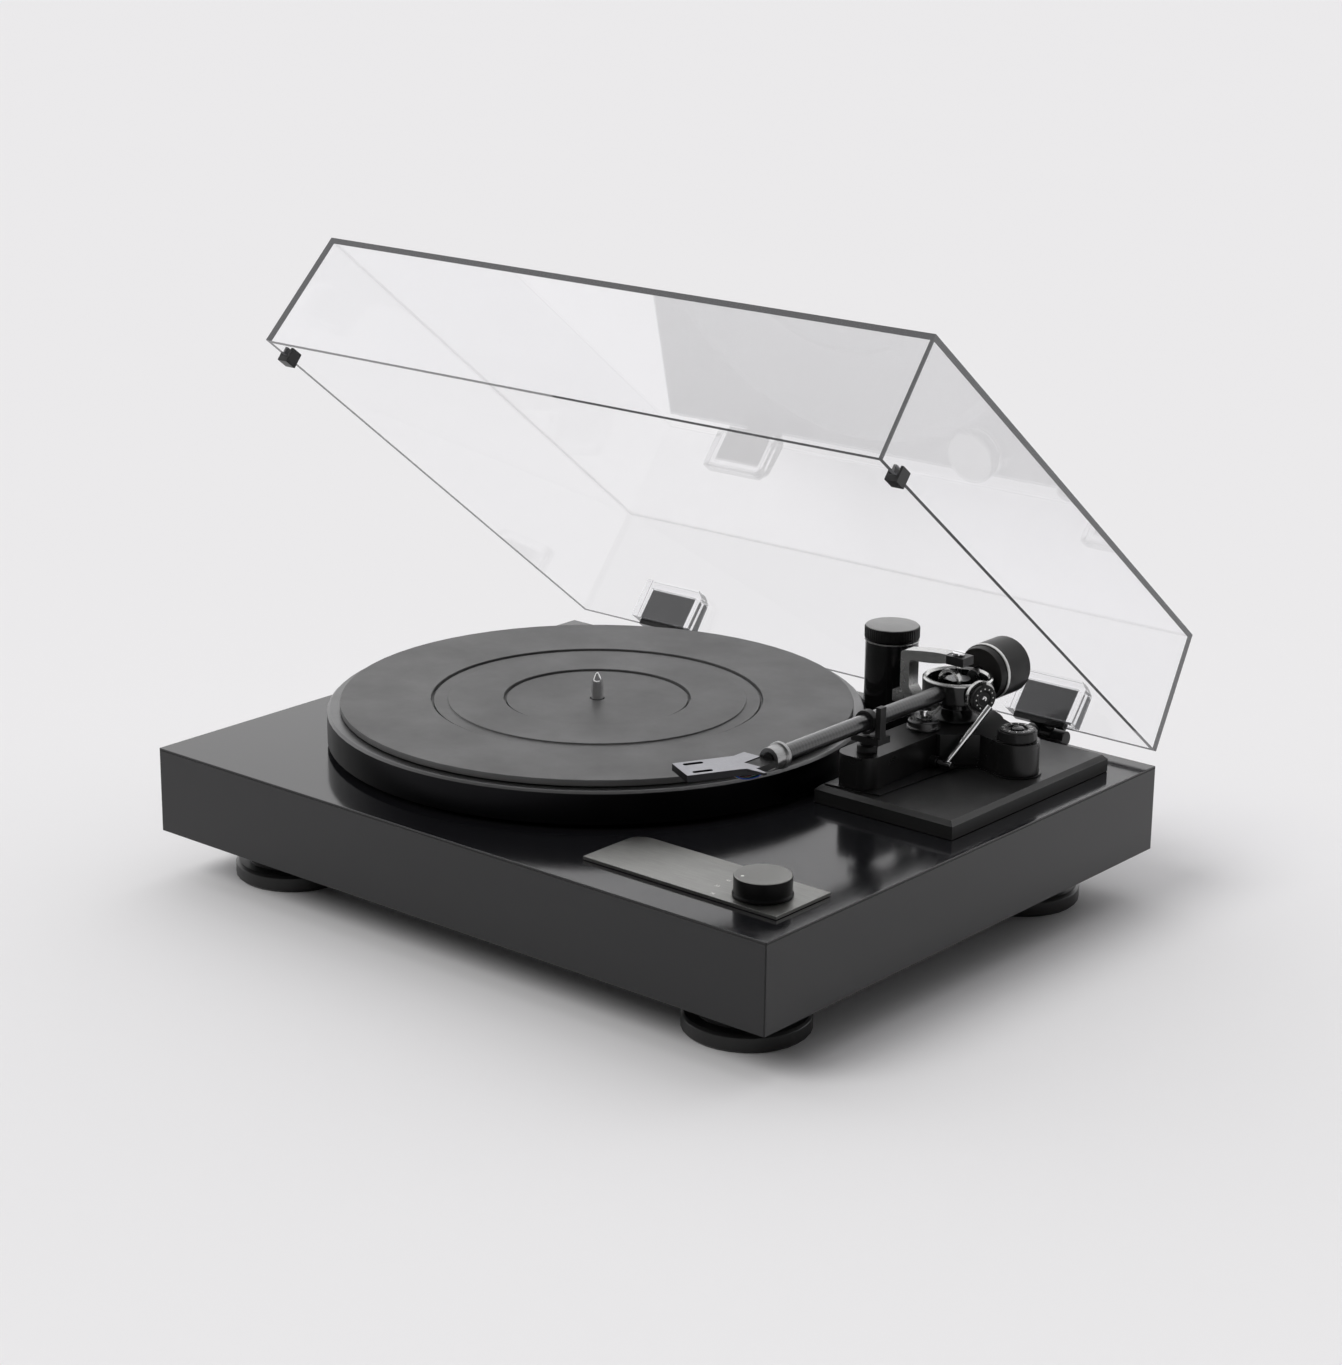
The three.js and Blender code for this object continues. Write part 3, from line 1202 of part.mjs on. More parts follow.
// ---------------------------------------------------------------- hinges on the plinth's back
// Hinge pieces are drawn with the hinge axis at y = 0, z = 0.
function hingeBase(middle) {
  const half = HINGE_WIDTH / 2;
  const leafHalf = HINGE_WIDTH / 6 + SEAT;
  const face = -HINGE_BEHIND + SEAT;
  const plate = box(middle - half, middle + half, face, face + 1.4, -34, 0);
  const knuckles = [[-half, -leafHalf], [leafHalf, half]].map(([from, to]) =>
    joined(
      turnedAlongX(pill(HINGE_RADIUS, middle + from, middle + to), 0, 0),
      box(middle + from, middle + to, face, 0, -HINGE_RADIUS, 0),
    ),
  );
  const pin = turnedAlongX(pill(HINGE_PIN_RADIUS, middle - half + 1, middle + half - 1), 0, 0, 16);
  return joined(plate, ...knuckles, pin);
}

const hingeLine = new THREE.Group();
hingeLine.position.set(0, HINGE_Y, DECK);
player.add(hingeLine);

const lidGroup = new THREE.Group();
lidGroup.rotation.x = radians(-LID_OPEN);
hingeLine.add(lidGroup);

// ---------------------------------------------------------------- lid, drawn closed about the hinge axis
const LID_BACK = -LID_BEFORE_AXIS;
const LID_FRONT = LID_BACK - LID_DEPTH;
const LID_RIGHT = LID_WIDTH / 2;
const LID_TOP = LID_ABOVE_AXIS + LID_HEIGHT;
const DRAFT_SLOPE = LID_DRAFT / LID_HEIGHT;
const wallInnerY = (z) => LID_BACK - LID_WALL - (z - LID_ABOVE_AXIS) * DRAFT_SLOPE;

function lid() {
  const outer = frustum(-LID_RIGHT, LID_RIGHT, LID_FRONT, LID_BACK, LID_ABOVE_AXIS, LID_TOP, LID_DRAFT);
  const right = LID_RIGHT - LID_WALL;
  const [front, back] = [LID_FRONT + LID_WALL, LID_BACK - LID_WALL];
  const innerInset = DRAFT_SLOPE * (LID_HEIGHT - LID_WALL);
  const inner = frustum(-right, right, front, back, LID_ABOVE_AXIS, LID_TOP - LID_WALL, innerInset);
  const mouth = box(-right, right, front, back, LID_ABOVE_AXIS - 1, LID_ABOVE_AXIS + 0.01);
  return cut(outer, inner, mouth);
}

const POCKET_BACK_GAP = SEAT;
const TONGUE_BACK = wallInnerY(LID_ABOVE_AXIS + POCKET_HEIGHT) - POCKET_BACK_GAP - 2;

function pocket(middle) {
  const half = POCKET_WIDTH / 2;
  const [low, high] = [LID_ABOVE_AXIS, LID_ABOVE_AXIS + POCKET_HEIGHT];
  const backLow = wallInnerY(low) - POCKET_BACK_GAP;
  const backHigh = wallInnerY(high) - POCKET_BACK_GAP;
  const front = backHigh - POCKET_DEPTH;
  const sides = [
    [backLow, low],
    [backHigh, high],
    [front + 1.2, high],
    [front, high - 1.2],
    [front, low],
  ];
  const block = prismAlongX(sides, middle - half, middle + half);
  const bevel = 5;
  const corner = outline([
    [middle + half - bevel, high + 1],
    [middle + half - bevel, high],
    [middle + half, high - bevel],
    [middle + half + 1, high - bevel],
    [middle + half + 1, high + 1],
  ]);
  const cornerCut = prismAlongY(corner, front - 1, backLow + 1);
  const room = TONGUE_WIDTH / 2 + 1.2;
  const cavity = box(
    middle - room,
    middle + room,
    TONGUE_BACK - TONGUE_THICKNESS - 0.8,
    TONGUE_BACK + 0.8,
    low - 1,
    low + TONGUE_HEIGHT + 0.8,
  );
  return cut(block, cornerCut, cavity);
}

function hingeLeaf(middle) {
  const half = TONGUE_WIDTH / 2;
  const knuckleHalf = HINGE_WIDTH / 6 - SEAT;
  const front = TONGUE_BACK - TONGUE_THICKNESS;
  const tongue = box(middle - half, middle + half, front, TONGUE_BACK, 1, LID_ABOVE_AXIS + TONGUE_HEIGHT);
  const arm = box(middle - knuckleHalf, middle + knuckleHalf, front, 0, 0.8, LID_ABOVE_AXIS - 0.5);
  const knuckle = turnedAlongX(pill(HINGE_RADIUS - 0.3, middle - knuckleHalf, middle + knuckleHalf), 0, 0);
  const bore = turnedAlongX(pill(HINGE_PIN_RADIUS + RUNNING, middle - half, middle + half), 0, 0, 16);
  return cut(joined(tongue, arm, knuckle), bore);
}

function bumper(side) {
  const middle = LID_FRONT + BUMPER_FROM_FRONT;
  const [y0, y1] = [middle - BUMPER_LENGTH / 2, middle + BUMPER_LENGTH / 2];
  const outerFace = LID_RIGHT + SEAT + 1.6;
  const innerFace = LID_RIGHT - LID_WALL - 2.6;
  const high = LID_ABOVE_AXIS + 5;
  const body = box(innerFace, outerFace, y0, y1, SEAT + 0.2, high);
  const wall = [LID_RIGHT - LID_WALL - 0.9, LID_RIGHT + SEAT];
  const slot = box(...wall, y0 - 1, y1 + 1, LID_ABOVE_AXIS - SEAT, high + 1);
  const clip = cut(body, slot);
  return side > 0 ? clip : solidOf(geometryOf(clip).scale(-1, 1, 1));
}

add("lid", lid(), FINISH.acrylic, lidGroup);
for (const [side, sign] of [["left", -1], ["right", 1]]) {
  const middle = sign * HINGE_SPREAD;
  add(`hinge_base_${side}`, hingeBase(middle), FINISH.glossBlack, hingeLine);
  add(`hinge_leaf_${side}`, hingeLeaf(middle), FINISH.matteBlack, lidGroup);
  add(`hinge_pocket_${side}`, pocket(middle), FINISH.acrylic, lidGroup);
  add(`lid_bumper_${side}`, bumper(sign), FINISH.rubber, lidGroup);
}

// ---------------------------------------------------------------- origin under the middle of the player
player.updateMatrixWorld(true);
const extent = new THREE.Box3().setFromObject(player, true);
player.position.set(-(extent.min.x + extent.max.x) / 2, -(extent.min.y + extent.max.y) / 2, -extent.min.z);
player.updateMatrixWorld(true);

export default player;
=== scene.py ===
"""Finishes, small fittings, floor, light and camera for a record player with its lid open."""
import json
import math

import bpy
from bpy.props import FloatProperty, FloatVectorProperty, IntProperty, PointerProperty
from mathutils import Matrix, Vector


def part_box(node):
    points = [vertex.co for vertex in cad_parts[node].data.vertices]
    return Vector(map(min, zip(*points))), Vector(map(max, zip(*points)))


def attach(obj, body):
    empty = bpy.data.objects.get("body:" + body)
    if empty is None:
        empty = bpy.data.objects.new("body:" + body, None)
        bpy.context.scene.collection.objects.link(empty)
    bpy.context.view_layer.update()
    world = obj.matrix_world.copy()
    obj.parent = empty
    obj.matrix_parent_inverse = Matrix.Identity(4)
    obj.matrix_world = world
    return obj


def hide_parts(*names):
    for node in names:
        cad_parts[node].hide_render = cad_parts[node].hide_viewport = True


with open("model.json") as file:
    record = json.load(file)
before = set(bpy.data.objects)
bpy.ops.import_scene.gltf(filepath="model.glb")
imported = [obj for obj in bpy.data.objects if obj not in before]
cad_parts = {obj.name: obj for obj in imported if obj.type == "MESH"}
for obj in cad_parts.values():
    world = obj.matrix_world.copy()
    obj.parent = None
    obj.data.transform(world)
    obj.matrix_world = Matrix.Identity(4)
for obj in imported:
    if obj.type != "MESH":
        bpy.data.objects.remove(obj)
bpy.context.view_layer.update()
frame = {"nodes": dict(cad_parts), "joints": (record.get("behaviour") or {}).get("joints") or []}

bl_info = {
    "name": "Record player finishes",
    "version": (1, 0, 0),
    "blender": (4, 5, 0),
    "location": "3D View > Sidebar > Record player",
    "description": "Dresses the frame of a record player and lights it on a pale floor",
    "category": "Object",
}

MM = 0.001
UP = Vector((0, 0, 1))


# ------------------------------------------------------------------ places read from the frame
def low(node):
    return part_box(node)[0]


def high(node):
    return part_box(node)[1]


def centre(node):
    lowest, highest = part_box(node)
    return (lowest + highest) / 2


def joint(name):
    return next(entry for entry in frame["joints"] if entry["name"] == name)


def joint_place(name):
    return Vector(joint(name)["pos_m"])


# ------------------------------------------------------------------ settings
def colour_setting(name, description, default):
    return FloatVectorProperty(
        name=name, description=description, default=default, size=3, subtype="COLOR", min=0, max=1
    )


def length_setting(name, description, default):
    return FloatProperty(name=name, description=description, default=default, min=0, unit="LENGTH")


def angle_setting(name, description, degrees):
    return FloatProperty(
        name=name, description=description, default=math.radians(degrees), subtype="ANGLE"
    )


def level_setting(name, description, default):
    return FloatProperty(name=name, description=description, default=default, min=0)


class PlayerFinishes(bpy.types.PropertyGroup):
    lacquer: colour_setting("Lacquer", "Piano lacquer on the plinth", (0.006, 0.006, 0.007))
    rubber: colour_setting("Rubber", "Platter mat", (0.058, 0.058, 0.058))
    black_paint: colour_setting("Black paint", "Castings round the tone arm", (0.004, 0.004, 0.004))
    grey_metal: colour_setting("Grey metal", "Control plate and knob top", (0.36, 0.36, 0.345))
    bright_metal: colour_setting("Bright metal", "Yoke, hoop and dial rings", (0.62, 0.62, 0.61))
    shell_metal: colour_setting("Headshell metal", "Top of the headshell", (0.36, 0.36, 0.385))
    acrylic: colour_setting("Acrylic", "Clear lid", (0.97, 0.97, 0.975))
    edge_round: length_setting("Edge rounding", "Radius of the finished edges", 0.4 * MM)


class PlayerDetails(bpy.types.PropertyGroup):
    cap_ribs: IntProperty(name="Cap ribs", description="Grip ribs round the cap", default=60, min=12)
    dial_marks: IntProperty(name="Dial marks", description="Marks round each dial", default=12, min=4)
    figure_height: length_setting("Figure height", "Height of the speed numbers", 2.8 * MM)
    lead_radius: length_setting("Lead radius", "Radius of each cartridge lead", 0.38 * MM)
    screw_radius: length_setting("Screw radius", "Radius of the small screw heads", 1.5 * MM)


class PlayerStage(bpy.types.PropertyGroup):
    azimuth: angle_setting("Azimuth", "Camera's turn round the player", 39.967)
    pitch: angle_setting("Pitch", "How far the camera looks down", 17.312)
    roll: angle_setting("Roll", "Camera's turn about its own axis", 0.6436)
    lens: FloatProperty(name="Lens", description="Focal length in millimetres", default=81.22, min=1)
    stand: FloatVectorProperty(
        name="Stand",
        description="Camera from the middle of the plinth's underside",
        default=(1.0546, -1.2458, 0.6014),
        size=3,
        subtype="TRANSLATION",
        unit="LENGTH",
    )
    floor: colour_setting("Floor", "Pale floor", (0.83, 0.825, 0.835))
    backdrop: level_setting("Backdrop", "Brightness behind the player", 1.2)
    softbox: level_setting("Softbox", "Brightness straight overhead", 0.3)
    shade: level_setting("Shade", "Brightness behind the camera", 0.12)
    sun: level_setting("Sun", "Strength of the soft light", 1.42)
    sun_spread: angle_setting("Sun spread", "Softness of its shadow", 30)
    sun_from: FloatVectorProperty(
        name="Sun from", description="Where the light comes from", default=(-0.35, -0.9, 0.97), size=3
    )


# ------------------------------------------------------------------ node helpers
def link(tree, source, target):
    tree.links.new(source, target)


def add_node(tree, kind, **values):
    made = tree.nodes.new(kind)
    for key, value in values.items():
        setattr(made, key, value)
    return made


def math_node(tree, operation, first, second=0.5, clamp=False):
    made = add_node(tree, "ShaderNodeMath", operation=operation, use_clamp=clamp)
    for socket, value in zip(made.inputs, (first, second)):
        if isinstance(value, (int, float)):
            socket.default_value = value
        else:
            link(tree, value, socket)
    return made.outputs[0]


def mapped(tree, value, from_low, from_high, to_low, to_high):
    made = add_node(tree, "ShaderNodeMapRange")
    link(tree, value, made.inputs["Value"])
    for name, number in (
        ("From Min", from_low),
        ("From Max", from_high),
        ("To Min", to_low),
        ("To Max", to_high),
    ):
        made.inputs[name].default_value = number
    return made.outputs["Result"]


def mixed_colour(tree, mask, first, second):
    made = add_node(tree, "ShaderNodeMix", data_type="RGBA")
    link(tree, mask, made.inputs[0])
    for socket, value in ((made.inputs[6], first), (made.inputs[7], second)):
        if isinstance(value, bpy.types.NodeSocket):
            link(tree, value, socket)
        else:
            socket.default_value = (*value[:3], 1)
    return made.outputs[2]


def object_place(tree):
    return add_node(tree, "ShaderNodeTexCoord").outputs["Object"]


def band(tree, value, start, end, soft):
    """1 between start and end, 0 outside, with soft edges."""
    rise = mapped(tree, value, start - soft, start, 0, 1)
    fall = mapped(tree, value, end, end + soft, 1, 0)
    return math_node(tree, "MULTIPLY", rise, fall)


# ------------------------------------------------------------------ shared effects
def new_group(name, inputs, outputs):
    tree = bpy.data.node_groups.new(name, "ShaderNodeTree")
    for label, kind, default in inputs:
        socket = tree.interface.new_socket(name=label, in_out="INPUT", socket_type=kind)
        if default is not None:
            socket.default_value = default
    for label, kind in outputs:
        tree.interface.new_socket(name=label, in_out="OUTPUT", socket_type=kind)
    return tree, tree.nodes.new("NodeGroupInput").outputs, tree.nodes.new("NodeGroupOutput").inputs


def noise(tree, place, scale, detail=4.0, roughness=0.6):
    made = add_node(tree, "ShaderNodeTexNoise")
    link(tree, place, made.inputs["Vector"])
    if isinstance(scale, (int, float)):
        made.inputs["Scale"].default_value = scale
    else:
        link(tree, scale, made.inputs["Scale"])
    made.inputs["Detail"].default_value = detail
    made.inputs["Roughness"].default_value = roughness
    return made.outputs["Fac"]


def build_grain():
    """Fine moulded or cast grain with larger, fainter clouds in it."""
    tree, given, result = new_group(
        "Surface grain",
        [("Place", "NodeSocketVector", None), ("Scale", "NodeSocketFloat", 1500.0)],
        [("Height", "NodeSocketFloat"), ("Cloud", "NodeSocketFloat")],
    )
    link(tree, noise(tree, given["Place"], given["Scale"], 6), result["Height"])
    coarse = math_node(tree, "MULTIPLY", given["Scale"], 0.02)
    link(tree, noise(tree, given["Place"], coarse, 3), result["Cloud"])
    return tree


def build_handling():
    """Uneven gloss left by handling and dusting, between two roughness values."""
    tree, given, result = new_group(
        "Handling marks",
        [
            ("Place", "NodeSocketVector", None),
            ("Scale", "NodeSocketFloat", 22.0),
            ("Smooth", "NodeSocketFloat", 0.2),
            ("Dull", "NodeSocketFloat", 0.3),
        ],
        [("Roughness", "NodeSocketFloat")],
    )
    cloud = noise(tree, given["Place"], given["Scale"], 5, 0.65)
    spread = mapped(tree, cloud, 0.35, 0.65, 0, 1)
    step = math_node(tree, "SUBTRACT", given["Dull"], given["Smooth"])
    total = math_node(tree, "MULTIPLY_ADD", spread, step)
    link(tree, given["Smooth"], total.node.inputs[2])
    link(tree, total, result["Roughness"])
    return tree


def build_brushing():
    """Straight brush lines: noise drawn out along one direction."""
    tree, given, result = new_group(
        "Brushed lines",
        [("Place", "NodeSocketVector", None), ("Stretch", "NodeSocketVector", (60.0, 6000.0, 6000.0))],
        [("Height", "NodeSocketFloat"), ("Line", "NodeSocketFloat")],
    )
    scaled = add_node(tree, "ShaderNodeVectorMath", operation="MULTIPLY")
    link(tree, given["Place"], scaled.inputs[0])
    link(tree, given["Stretch"], scaled.inputs[1])
    lines = noise(tree, scaled.outputs[0], 1.0, 4)
    link(tree, lines, result["Height"])
    link(tree, mapped(tree, lines, 0.3, 0.7, 0, 1), result["Line"])
    return tree


def build_turning():
    """Rings of a lathe cut round an upright axis through Centre."""
    tree, given, result = new_group(
        "Turned rings",
        [
            ("Place", "NodeSocketVector", None),
            ("Centre", "NodeSocketVector", (0.0, 0.0, 0.0)),
            ("Rings per metre", "NodeSocketFloat", 2500.0),
        ],
        [("Height", "NodeSocketFloat"), ("Radius", "NodeSocketFloat"), ("Ring", "NodeSocketFloat")],
    )
    offset = add_node(tree, "ShaderNodeVectorMath", operation="SUBTRACT")
    link(tree, given["Place"], offset.inputs[0])
    link(tree, given["Centre"], offset.inputs[1])
    flat = add_node(tree, "ShaderNodeVectorMath", operation="MULTIPLY")
    link(tree, offset.outputs[0], flat.inputs[0])
    flat.inputs[1].default_value = (1, 1, 0)
    reach = add_node(tree, "ShaderNodeVectorMath", operation="LENGTH")
    link(tree, flat.outputs[0], reach.inputs[0])
    radius = reach.outputs["Value"]
    scaled = math_node(tree, "MULTIPLY", radius, given["Rings per metre"])
    across = add_node(tree, "ShaderNodeTexNoise", noise_dimensions="1D")
    link(tree, scaled, across.inputs["W"])
    across.inputs["Scale"].default_value = 1
    across.inputs["Detail"].default_value = 3
    link(tree, across.outputs["Fac"], result["Height"])
    link(tree, radius, result["Radius"])
    link(tree, mapped(tree, across.outputs["Fac"], 0.3, 0.7, 0, 1), result["Ring"])
    return tree


BUILDERS = {
    "grain": build_grain,
    "handling": build_handling,
    "brushing": build_brushing,
    "turning": build_turning,
}
EFFECTS = {}


def effect(tree, name, place, **values):
    """Adds a shared effect, which is built the first time it is asked for."""
    if name not in EFFECTS:
        EFFECTS[name] = BUILDERS[name]()
    made = tree.nodes.new("ShaderNodeGroup")
    made.node_tree = EFFECTS[name]
    link(tree, place, made.inputs["Place"])
    for label, value in values.items():
        made.inputs[label.replace("_", " ")].default_value = value
    return made.outputs


# ------------------------------------------------------------------ materials
def new_material(name, colour, metallic=0.0, roughness=0.4, **constants):
    made = bpy.data.materials.new(name)
    made.use_nodes = True
    tree = made.node_tree
    shader = tree.nodes["Principled BSDF"]
    shader.inputs["Base Color"].default_value = (*colour[:3], 1)
    shader.inputs["Metallic"].default_value = metallic
    shader.inputs["Roughness"].default_value = roughness
    for label, value in constants.items():
        shader.inputs[label.replace("_", " ")].default_value = value
    return made, tree, shader


def raise_surface(tree, shader, height, strength, distance):
    bump = add_node(tree, "ShaderNodeBump")
    bump.inputs["Strength"].default_value = strength
    bump.inputs["Distance"].default_value = distance
    link(tree, height, bump.inputs["Height"])
    link(tree, bump.outputs["Normal"], shader.inputs["Normal"])


def grained(name, colour, smooth, dull, scale=1500.0, strength=0.2, metallic=0.0, **constants):
    """A finish with fine grain, faint clouds of colour and uneven gloss."""
    made, tree, shader = new_material(name, colour, metallic, smooth, **constants)
    place = object_place(tree)
    grain = effect(tree, "grain", place, Scale=scale)
    pale = tuple(min(1.0, part * 1.35 + 0.002) for part in colour)
    link(tree, mixed_colour(tree, grain["Cloud"], colour, pale), shader.inputs["Base Color"])
    handled = effect(tree, "handling", place, Smooth=smooth, Dull=dull)
    link(tree, handled["Roughness"], shader.inputs["Roughness"])
    if strength:
        raise_surface(tree, shader, grain["Height"], strength, 0.05 * MM)
    return made, tree, shader


def brushed(name, colour, smooth, dull, stretch, strength=0.25, metallic=1.0):
    made, tree, shader = new_material(name, colour, metallic, smooth)
    place = object_place(tree)
    lines = effect(tree, "brushing", place, Stretch=stretch)
    dark = tuple(part * 0.72 for part in colour)
    link(tree, mixed_colour(tree, lines["Line"], dark, colour), shader.inputs["Base Color"])
    handled = effect(tree, "handling", place, Smooth=smooth, Dull=dull)
    link(tree, handled["Roughness"], shader.inputs["Roughness"])
    raise_surface(tree, shader, lines["Height"], strength, 0.03 * MM)
    return made, tree, shader


def upward(tree):
    """1 on faces that look up, 0 on the others."""
    normal = add_node(tree, "ShaderNodeNewGeometry").outputs["Normal"]
    parts = add_node(tree, "ShaderNodeSeparateXYZ")
    link(tree, normal, parts.inputs[0])
    return mapped(tree, parts.outputs["Z"], 0.8, 0.95, 0, 1)


def coordinate(tree, place, part="Z"):
    parts = add_node(tree, "ShaderNodeSeparateXYZ")
    link(tree, place, parts.inputs[0])
    return parts.outputs[part]


def lacquer_material(finishes):
    """Deep gloss lacquer, a little wavy, with a joint line under the deck and one at the near corner; its
    sides take a darker copy of the lacquer, painted shade.
    """
    made, tree, shader = new_material("piano_lacquer", finishes.lacquer, 0.0, 0.05, Coat_Roughness=0.03)
    place = object_place(tree)
    handled = effect(tree, "handling", place, Scale=9.0, Smooth=0.05, Dull=0.09)
    lowest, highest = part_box("plinth")
    near, far = 0.6 * MM, 0.9 * MM
    lip = band(tree, coordinate(tree, place), highest.z - 1.5 * MM, highest.z - 0.8 * MM, 0.15 * MM)
    right = mapped(tree, coordinate(tree, place, "X"), highest.x - far, highest.x - near, 0, 1)
    front = mapped(tree, coordinate(tree, place, "Y"), lowest.y + near, lowest.y + far, 1, 0)
    seam = math_node(tree, "MAXIMUM", lip, math_node(tree, "MULTIPLY", right, front))
    rough = add_node(tree, "ShaderNodeMix", data_type="FLOAT")
    link(tree, seam, rough.inputs[0])
    link(tree, handled["Roughness"], rough.inputs[2])
    rough.inputs[3].default_value = 0.6
    satin = mapped(tree, upward(tree), 0, 1, 0, 0.05)
    link(tree, math_node(tree, "ADD", rough.outputs[0], satin), shader.inputs["Roughness"])
    # painted shade: faces that do not look up get a darker copy of the lacquer colour
    side = (0.003, 0.003, 0.0035)
    base = mixed_colour(tree, upward(tree), side, tuple(finishes.lacquer))
    link(tree, mixed_colour(tree, seam, base, (0.0, 0.0, 0.0)), shader.inputs["Base Color"])
    raise_surface(tree, shader, noise(tree, place, 160.0, 2), 0.02, 0.2 * MM)
    return made


def mat_material(finishes):
    """Rubber with moulded grain and fine rings round the spindle."""
    grain_scale = 2600.0
    made, tree, shader = grained("mat_rubber", tuple(finishes.rubber), 0.42, 0.52, grain_scale, 0)
    place = object_place(tree)
    middle = tuple(joint_place("platter_spin"))
    rings = effect(tree, "turning", place, Centre=middle, Rings_per_metre=3200.0)
    grain = effect(tree, "grain", place, Scale=grain_scale)
    height = math_node(tree, "ADD", rings["Height"], math_node(tree, "MULTIPLY", grain["Height"], 0.6))
    raise_surface(tree, shader, height, 0.35, 0.04 * MM)
    return made


def platter_material():
    """Turned casting: black side, satin grey on the rim's top face and its chamfer."""
    made, tree, shader = new_material("turned_casting", (0.01, 0.01, 0.01), 1.0, 0.35)
    place = object_place(tree)
    middle = tuple(joint_place("platter_spin"))
    rings = effect(tree, "turning", place, Centre=middle, Rings_per_metre=4200.0)
    top = high("platter").z
    rim = mapped(tree, coordinate(tree, place), top - 1.6 * MM, top - 1.3 * MM, 0, 1)
    grey = mixed_colour(tree, rings["Ring"], (0.09, 0.09, 0.09), (0.15, 0.15, 0.152))
    link(tree, mixed_colour(tree, rim, (0.012, 0.012, 0.013), grey), shader.inputs["Base Color"])
    handled = effect(tree, "handling", place, Smooth=0.28, Dull=0.36)
    link(tree, handled["Roughness"], shader.inputs["Roughness"])
    raise_surface(tree, shader, rings["Height"], 0.25, 0.03 * MM)
    return made


def spun_top_material(name, node, middle, side_colour, top_colour):
    """Black sides with a spun metal top, as on the knob and the canister's cap."""
    made, tree, shader = new_material(name, top_colour, 0.0, 0.35, Specular_IOR_Level=0.15)
    place = object_place(tree)
    rings = effect(tree, "turning", place, Centre=tuple(middle), Rings_per_metre=5000.0)
    face = high(node).z
    top = mapped(tree, coordinate(tree, place), face - 0.5 * MM, face - 0.3 * MM, 0, 1)
    dark = tuple(part * 0.6 for part in top_colour)
    metal = mixed_colour(tree, rings["Ring"], dark, top_colour)
    link(tree, mixed_colour(tree, top, side_colour, metal), shader.inputs["Base Color"])
    link(tree, top, shader.inputs["Metallic"])
    handled = effect(tree, "handling", place, Smooth=0.28, Dull=0.38)
    link(tree, handled["Roughness"], shader.inputs["Roughness"])
    raise_surface(tree, shader, rings["Height"], 0.3, 0.03 * MM)
    return made


def ring_material(finishes):
    """Gloss black gimbal ring with a bright bevel round its top."""
    made, tree, shader = new_material("gimbal_black", (0.01, 0.01, 0.01), 0.6, 0.15)
    place = object_place(tree)
    top = high("gimbal_ring").z
    bright = mapped(tree, coordinate(tree, place), top - 1.45 * MM, top - 1.15 * MM, 0, 1)
    base = mixed_colour(tree, bright, (0.012, 0.012, 0.012), tuple(finishes.bright_metal))
    link(tree, base, shader.inputs["Base Color"])
    link(tree, mapped(tree, bright, 0, 1, 0.3, 1), shader.inputs["Metallic"])
    handled = effect(tree, "handling", place, Scale=120.0, Smooth=0.1, Dull=0.2)
    link(tree, handled["Roughness"], shader.inputs["Roughness"])
    raise_surface(tree, shader, noise(tree, place, 900.0, 3), 0.05, 0.05 * MM)
    return made


def weight_material(finishes):
    """Satin black weight with one bright band behind its front disc."""
    paint = (0.009, 0.0085, 0.008)
    made, tree, shader = grained(
        "weight_black", paint, 0.3, 0.42, 1800.0, 0.15, Specular_IOR_Level=0.25
    )
    place = object_place(tree)
    front = low("counterweight").y
    bright = band(tree, coordinate(tree, place, "Y"), front + 5.0 * MM, front + 6.8 * MM, 0.1 * MM)
    base = mixed_colour(tree, bright, paint, tuple(finishes.bright_metal))
    link(tree, base, shader.inputs["Base Color"])
    link(tree, bright, shader.inputs["Metallic"])
    return made


def shell_material(finishes):
    """Headshell: pale satin top; its sides are a near-black copy of the same metal, painted shade."""
    made, tree, shader = brushed(
        "headshell_metal", tuple(finishes.shell_metal), 0.28, 0.36, (300.0, 3500.0, 3500.0), 0.12
    )
    lines = shader.inputs["Base Color"].links[0].from_socket
    # painted shade: faces that do not look up get a near-black copy of the headshell metal
    top = mixed_colour(tree, upward(tree), (0.03, 0.03, 0.032), lines)
    link(tree, top, shader.inputs["Base Color"])
    return made


def carbon_material():
    """Twill weave under a thick clear coat, wound round the tube's length."""
    twill = 2.6 * MM
    made, tree, shader = new_material(
        "carbon_weave", (0.01, 0.01, 0.01), 0.0, 0.3, Coat_Weight=0.8, Coat_Roughness=0.04
    )
    place = object_place(tree)
    offset = add_node(tree, "ShaderNodeVectorMath", operation="SUBTRACT")
    link(tree, place, offset.inputs[0])
    offset.inputs[1].default_value = tuple(joint_place("arm_swing"))
    parts = add_node(tree, "ShaderNodeSeparateXYZ")
    link(tree, offset.outputs[0], parts.inputs[0])
    turn = math_node(tree, "ARCTAN2", parts.outputs["Z"], parts.outputs["X"])
    around = math_node(tree, "MULTIPLY", turn, 6 / math.pi)
    along = math_node(tree, "MULTIPLY", parts.outputs["Y"], 1 / twill)
    diagonal = math_node(tree, "ADD", around, along)
    counter = math_node(tree, "SUBTRACT", around, along)
    first = math_node(tree, "FRACT", math_node(tree, "MULTIPLY", diagonal, 0.5))
    second = math_node(tree, "FRACT", math_node(tree, "MULTIPLY", counter, 0.5))
    over = math_node(tree, "GREATER_THAN", first, 0.5)
    under = math_node(tree, "GREATER_THAN", second, 0.5)
    same = math_node(tree, "COMPARE", over, under)
    same.node.inputs[2].default_value = 0.1
    threads = noise(tree, place, 2500.0, 2)
    pale = mixed_colour(tree, threads, (0.008, 0.008, 0.0085), (0.03, 0.03, 0.031))
    link(tree, mixed_colour(tree, same, (0.004, 0.004, 0.004), pale), shader.inputs["Base Color"])
    raise_surface(tree, shader, same, 0.15, 0.05 * MM)
    return made


